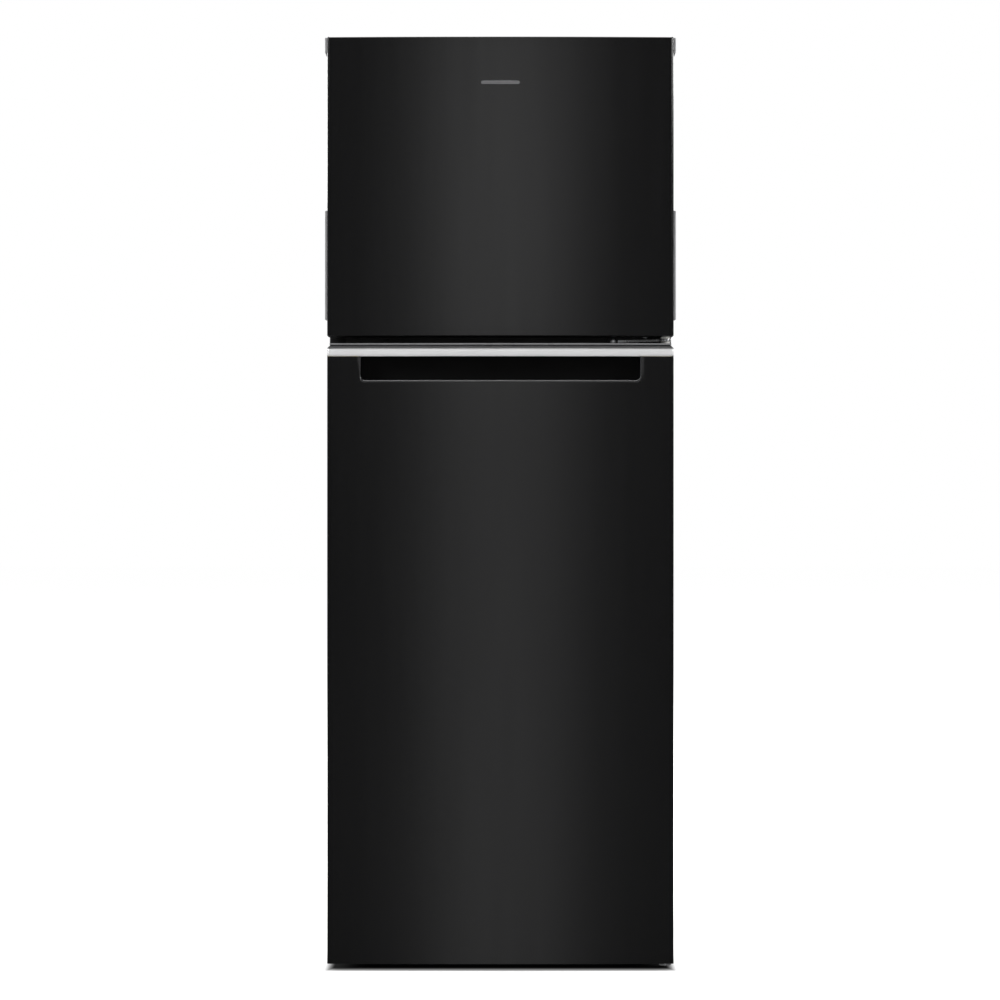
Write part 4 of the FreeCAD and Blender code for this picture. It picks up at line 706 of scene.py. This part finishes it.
def badgePill():
    low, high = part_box("badge")
    radius = (high[2] - low[2]) / 2
    stretch = (high[0] - low[0]) / 2 - radius
    bm = bmesh.new()
    bmesh.ops.create_circle(bm, cap_ends=True, segments=badgeShape["segments"], radius=radius)
    for side in (-1, 1):
        halfEnd = [vert for vert in bm.verts if vert.co.x * side > 0]
        bmesh.ops.translate(bm, verts=halfEnd, vec=(side * stretch, 0, 0))
    bmesh.ops.rotate(bm, verts=bm.verts, cent=(0, 0, 0), matrix=Matrix.Rotation(math.radians(90), 3, "X"))
    bmesh.ops.translate(bm, verts=bm.verts, vec=(0, high[1], (low[2] + high[2]) / 2))
    grown = bmesh.ops.extrude_face_region(bm, geom=bm.faces[:])["geom"]
    bmesh.ops.translate(bm, verts=vertsOf(grown), vec=(0, low[1] - high[1], 0))
    closeUp(bm)
    rim = [edge for edge in bm.edges if all(abs(vert.co.y - low[1]) < 1e-6 for vert in edge.verts)]
    roundOff(bm, rim, badgeShape["edge"], 3)
    return makePiece(bm, "badgePill", "freezer_door", slotOf["badge"], ["badge"], paint="badgeMetal", sharp=60)


upperPanel()
lowerPanel()
handleCup()
silverTrim()
doorSeal("upperSeal", "upper_door_gasket", "freezer_door")
doorSeal("lowerSeal", "lower_door_gasket", "fridge_door")
badgePill()
print("doors done")


wrapperShape = {"flange": 0.028, "fold": 0.0026, "foldSteps": 5, "folded": 57, "sheet": 0.0009}


# roof and sides folded from one sheet, with the flange turned in at the front
def cabinetWrap():
    low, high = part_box("outer_wrapper")
    bm = bmesh.new()
    places = [(low[0], low[2]), (low[0], high[2]), (high[0], high[2]), (high[0], low[2])]
    verts = [bm.verts.new((x, low[1], z)) for x, z in places]
    edges = [bm.edges.new(pair) for pair in zip(verts, verts[1:])]
    grown = bmesh.ops.extrude_edge_only(bm, edges=edges)["geom"]
    bmesh.ops.translate(bm, verts=vertsOf(grown), vec=(0, high[1] - low[1], 0))
    grown = bmesh.ops.extrude_edge_only(bm, edges=edges)["geom"]
    for vert in vertsOf(grown):
        vert.co.x -= math.copysign(wrapperShape["flange"], vert.co.x)
        if vert.co.z > (low[2] + high[2]) / 2:
            vert.co.z -= wrapperShape["flange"]
    bm.normal_update()
    roundOff(bm, foldedEdges(bm, wrapperShape["folded"]), wrapperShape["fold"], wrapperShape["foldSteps"])
    closeUp(bm)
    faceAlong(bm, max(bm.faces, key=lambda face: face.calc_center_median().z), (0, 0, 1))
    piece = makePiece(bm, "cabinetWrap", "cabinet", slotOf["outer_wrapper"], ["outer_wrapper"],
                      paint="cabinetCoat", sharp=50)
    return thicken(piece, wrapperShape["sheet"])


panelShape = {"rows": 5, "margin": 0.035, "slope": 0.007, "depth": 0.0026, "crease": 0.0016, "folded": 5,
              "sheet": 0.0009}


# rear sheet with pressed fields that stiffen it
def rearSheet():
    low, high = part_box("rear_panel")
    bm = bmesh.new()
    bmesh.ops.create_grid(bm, x_segments=1, y_segments=panelShape["rows"], size=0.5)
    bmesh.ops.scale(bm, verts=bm.verts, vec=(high[0] - low[0], high[2] - low[2], 1))
    bmesh.ops.rotate(bm, verts=bm.verts, cent=(0, 0, 0), matrix=Matrix.Rotation(math.radians(-90), 3, "X"))
    bmesh.ops.translate(bm, verts=bm.verts, vec=(0, high[1], (low[2] + high[2]) / 2))
    bmesh.ops.recalc_face_normals(bm, faces=bm.faces)
    fields = bm.faces[:]
    faceAlong(bm, fields[0], (0, 1, 0))
    bmesh.ops.inset_individual(bm, faces=fields, thickness=panelShape["margin"])
    bmesh.ops.inset_individual(bm, faces=fields, thickness=panelShape["slope"], depth=panelShape["depth"])
    roundOff(bm, foldedEdges(bm, panelShape["folded"]), panelShape["crease"], 3)
    piece = makePiece(bm, "rearSheet", "cabinet", slotOf["rear_panel"], ["rear_panel"], sharp=60)
    return thicken(piece, panelShape["sheet"])


cabinetWrap()
rearSheet()
print("sheet metal done")


# turns a profile of (radius, height) about an axis; both ends on the axis close the shape
def turned(profile, steps):
    bm = bmesh.new()
    verts = [bm.verts.new((radius, 0, height)) for radius, height in profile]
    edges = [bm.edges.new(pair) for pair in zip(verts, verts[1:])]
    bmesh.ops.spin(bm, geom=verts + edges, cent=(0, 0, 0), axis=(0, 0, 1), angle=math.tau, steps=steps,
                   use_merge=True)
    closeUp(bm, 1e-6)
    return bm


# adds a copy of one bmesh to another, moved by a matrix
def addTo(target, source, place):
    mesh = bpy.data.meshes.new("part")
    source.to_mesh(mesh)
    mesh.transform(place)
    target.from_mesh(mesh)
    bpy.data.meshes.remove(mesh)


footShape = {
    "pad": ((0, 0), (0.0160, 0), (0.0176, 0.0008), (0.0180, 0.0022), (0.0180, 0.0036), (0.0172, 0.0042),
            (0.0180, 0.0048), (0.0180, 0.0068), (0.0172, 0.0082), (0.0150, 0.0090), (0.0060, 0.0094), (0, 0.0094)),
    "nutRadius": 0.0090, "nutLow": 0.0090, "nutHigh": 0.0150, "nutEdge": 0.0006, "nutFolded": 35,
    "threadRadius": 0.0049, "threadRoot": 0.0043, "pitch": 0.0015, "threadSteps": 20,
    "sunk": 0.001,          # thread's start inside the nut
    "chamfer": 0.0004,
    "steps": 48,
}


# rubber pad, nut and threaded stem
def levellingFoot(word):
    node = "front_foot_" + word
    low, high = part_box(node)
    bm = turned(footShape["pad"], footShape["steps"])
    nut = bmesh.new()
    tall = footShape["nutHigh"] - footShape["nutLow"]
    bmesh.ops.create_cone(nut, cap_ends=True, segments=6, radius1=footShape["nutRadius"],
                          radius2=footShape["nutRadius"], depth=tall)
    roundOff(nut, foldedEdges(nut, footShape["nutFolded"]), footShape["nutEdge"], 2)
    addTo(bm, nut, Matrix.Translation((0, 0, footShape["nutLow"] + tall / 2)))
    nut.free()
    thread = [(0, footShape["nutHigh"] - footShape["sunk"])]
    count = int((high[2] - footShape["nutHigh"]) / footShape["pitch"])
    for turn in range(count):
        z = footShape["nutHigh"] + turn * footShape["pitch"]
        thread += [(footShape["threadRoot"], z), (footShape["threadRadius"], z + footShape["pitch"] / 2)]
    thread += [(footShape["threadRoot"], high[2] - footShape["chamfer"]), (0, high[2])]
    stem = turned(thread, footShape["threadSteps"])
    addTo(bm, stem, Matrix.Identity(4))
    stem.free()
    bmesh.ops.translate(bm, verts=bm.verts, vec=((low[0] + high[0]) / 2, (low[1] + high[1]) / 2, 0))
    makePiece(bm, "levellingFoot" + word.capitalize(), "foot_" + word, slotOf[node], [node], sharp=50)


rollerShape = {
    # radius, distance from the middle plane as a share of the half width
    "half": ((0.0031, 1.0), (0.0058, 1.0), (0.0064, 0.80), (0.0094, 0.80), (0.0100, 0.98), (0.0112, 1.0),
             (0.0122, 0.88), (0.0125, 0.70), (0.0125, 0.16), (0.0121, 0.08)),
    "steps": 48,
}


# grooved wheel with a bored hub
def roller(word):
    node = "rear_roller_" + word
    low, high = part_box(node)
    half = (high[0] - low[0]) / 2
    right = [(radius, share * half) for radius, share in rollerShape["half"]]
    left = [(radius, -height) for radius, height in reversed(right)]
    bm = turned(right + left + [right[0]], rollerShape["steps"])
    bmesh.ops.rotate(bm, verts=bm.verts, cent=(0, 0, 0), matrix=Matrix.Rotation(math.radians(90), 3, "Y"))
    middle = [(low[axis] + high[axis]) / 2 for axis in range(3)]
    bmesh.ops.translate(bm, verts=bm.verts, vec=middle)
    makePiece(bm, "rearRoller" + word.capitalize(), "roller_" + word, slotOf[node], [node], sharp=40)


screwShape = {
    "flange": ((0, 0), (0.0050, 0), (0.0050, 0.0005), (0.0042, 0.0009), (0.0030, 0.0010), (0, 0.0010)),
    "hexRadius": 0.0036, "hexHeight": 0.0017, "hexFoot": 0.0008, "edge": 0.0003,
    "rim": 0.0006, "dishSlope": 0.0004, "dish": 0.0007, "steps": 28,
    # thickness of the plate under the heads at the top, middle and bottom hinge
    "topPlate": 0.003, "leg": 0.003, "bottomPlate": 0.004,
    # from the hinge axis: in along X, then back from the cabinet's front or up from the hinge plate
    "top": ((0.044, 0.066), (0.014, 0.048), (0.030, 0.026)),
    "middle": ((0.088, 0.0), (0.033, 0.009), (0.033, -0.009)),
    "bottom": ((0.032, 0.018), (0.032, 0.052)),
}


# hexagon head with a dished top on its flange
def screwHead():
    bm = turned(screwShape["flange"], screwShape["steps"])
    head = bmesh.new()
    bmesh.ops.create_cone(head, cap_ends=True, segments=6, radius1=screwShape["hexRadius"],
                          radius2=screwShape["hexRadius"], depth=screwShape["hexHeight"])
    top = max(head.faces, key=lambda face: face.calc_center_median().z)
    bmesh.ops.inset_region(head, faces=[top], thickness=screwShape["rim"], depth=0.0)
    bmesh.ops.inset_region(head, faces=[top], thickness=screwShape["dishSlope"], depth=-screwShape["dish"])
    # the edges round a hexagon are as long as its radius
    rim = [edge for edge in head.edges
           if edge.calc_length() > 0.95 * screwShape["hexRadius"] and edge.calc_face_angle(0) > 0.8]
    roundOff(head, rim, screwShape["edge"], 2, clamped=True)
    addTo(bm, head, Matrix.Translation((0, 0, screwShape["hexFoot"] + screwShape["hexHeight"] / 2)))
    head.free()
    return bm


def hingeScrews():
    joint = next(item for item in frame["joints"] if item["name"] == "freezer_door_hinge")
    axisX = joint["pos_m"][0]
    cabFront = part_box("outer_wrapper")[0][1]
    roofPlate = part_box("outer_wrapper")[1][2] + screwShape["topPlate"]
    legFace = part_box("front_rails")[0][1] - screwShape["leg"]
    middleZ = (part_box("upper_door_skin")[0][2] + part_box("lower_door_top_cap")[1][2]) / 2
    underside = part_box("bottom_hinge")[1][2] - screwShape["bottomPlate"]
    bm = bmesh.new()
    head = screwHead()
    for x, y in screwShape["top"]:
        addTo(bm, head, Matrix.Translation((axisX - x, cabFront + y, roofPlate)))
    turn = Matrix.Rotation(math.radians(90), 4, "X")
    for x, z in screwShape["middle"]:
        addTo(bm, head, Matrix.Translation((axisX - x, legFace, middleZ + z)) @ turn)
    over = Matrix.Rotation(math.radians(180), 4, "X")
    for x, y in screwShape["bottom"]:
        addTo(bm, head, Matrix.Translation((axisX - x, cabFront + y, underside)) @ over)
    head.free()
    makePiece(bm, "hingeScrews", "cabinet", slotOf["hinge_screws"], ["hinge_screws"], sharp=35)


plugShape = {
    "head": ((0, 0), (0.0040, 0), (0.0040, 0.0006), (0.0036, 0.0011), (0.0026, 0.0015), (0, 0.0016)),
    "steps": 28,
}


def railPlugs():
    low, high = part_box("rail_plugs")
    radius = plugShape["head"][1][0]
    middleZ = (low[2] + high[2]) / 2
    bm = bmesh.new()
    button = turned(plugShape["head"], plugShape["steps"])
    turn = Matrix.Rotation(math.radians(90), 4, "X")
    places = [(high[0] - radius, middleZ)]
    places += [(low[0] + radius, high[2] - radius), (low[0] + radius, low[2] + radius)]
    for x, z in places:
        addTo(bm, button, Matrix.Translation((x, high[1], z)) @ turn)
    button.free()
    makePiece(bm, "railButtons", "cabinet", slotOf["rail_plugs"], ["rail_plugs"], sharp=50)


for word in ("left", "right"):
    levellingFoot(word)
    roller(word)
hingeScrews()
railPlugs()
print("hardware done")


wireShape = {"count": 30, "radius": 0.0008, "sides": 6, "endRoom": 0.006, "bar": 0.0022, "barSides": 10,
             "barRoom": 0.0025}


# round wires welded across the condenser tube, front and back, with a bar at each end
def condenserGrid():
    low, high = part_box("condenser_wires")
    radius = wireShape["radius"]
    first = low[0] + wireShape["endRoom"]
    step = (high[0] - low[0] - 2 * wireShape["endRoom"]) / (wireShape["count"] - 1)
    bm = bmesh.new()
    middleZ = (low[2] + high[2]) / 2
    for y in (low[1] + radius, high[1] - radius):
        for number in range(wireShape["count"]):
            place = Matrix.Translation((first + step * number, y, middleZ))
            bmesh.ops.create_cone(bm, cap_ends=True, segments=wireShape["sides"], radius1=radius, radius2=radius,
                                  depth=high[2] - low[2], matrix=place)
        for z in (low[2] + wireShape["barRoom"], high[2] - wireShape["barRoom"]):
            place = Matrix.Translation((0, y, z)) @ Matrix.Rotation(math.radians(90), 4, "Y")
            bmesh.ops.create_cone(bm, cap_ends=True, segments=wireShape["barSides"], radius1=wireShape["bar"] / 2,
                                  radius2=wireShape["bar"] / 2, depth=high[0] - low[0], matrix=place)
    makePiece(bm, "condenserGrid", "cabinet", slotOf["condenser_wires"], ["condenser_wires"], sharp=70,
              weighted=False)


condenserGrid()
print("condenser done")
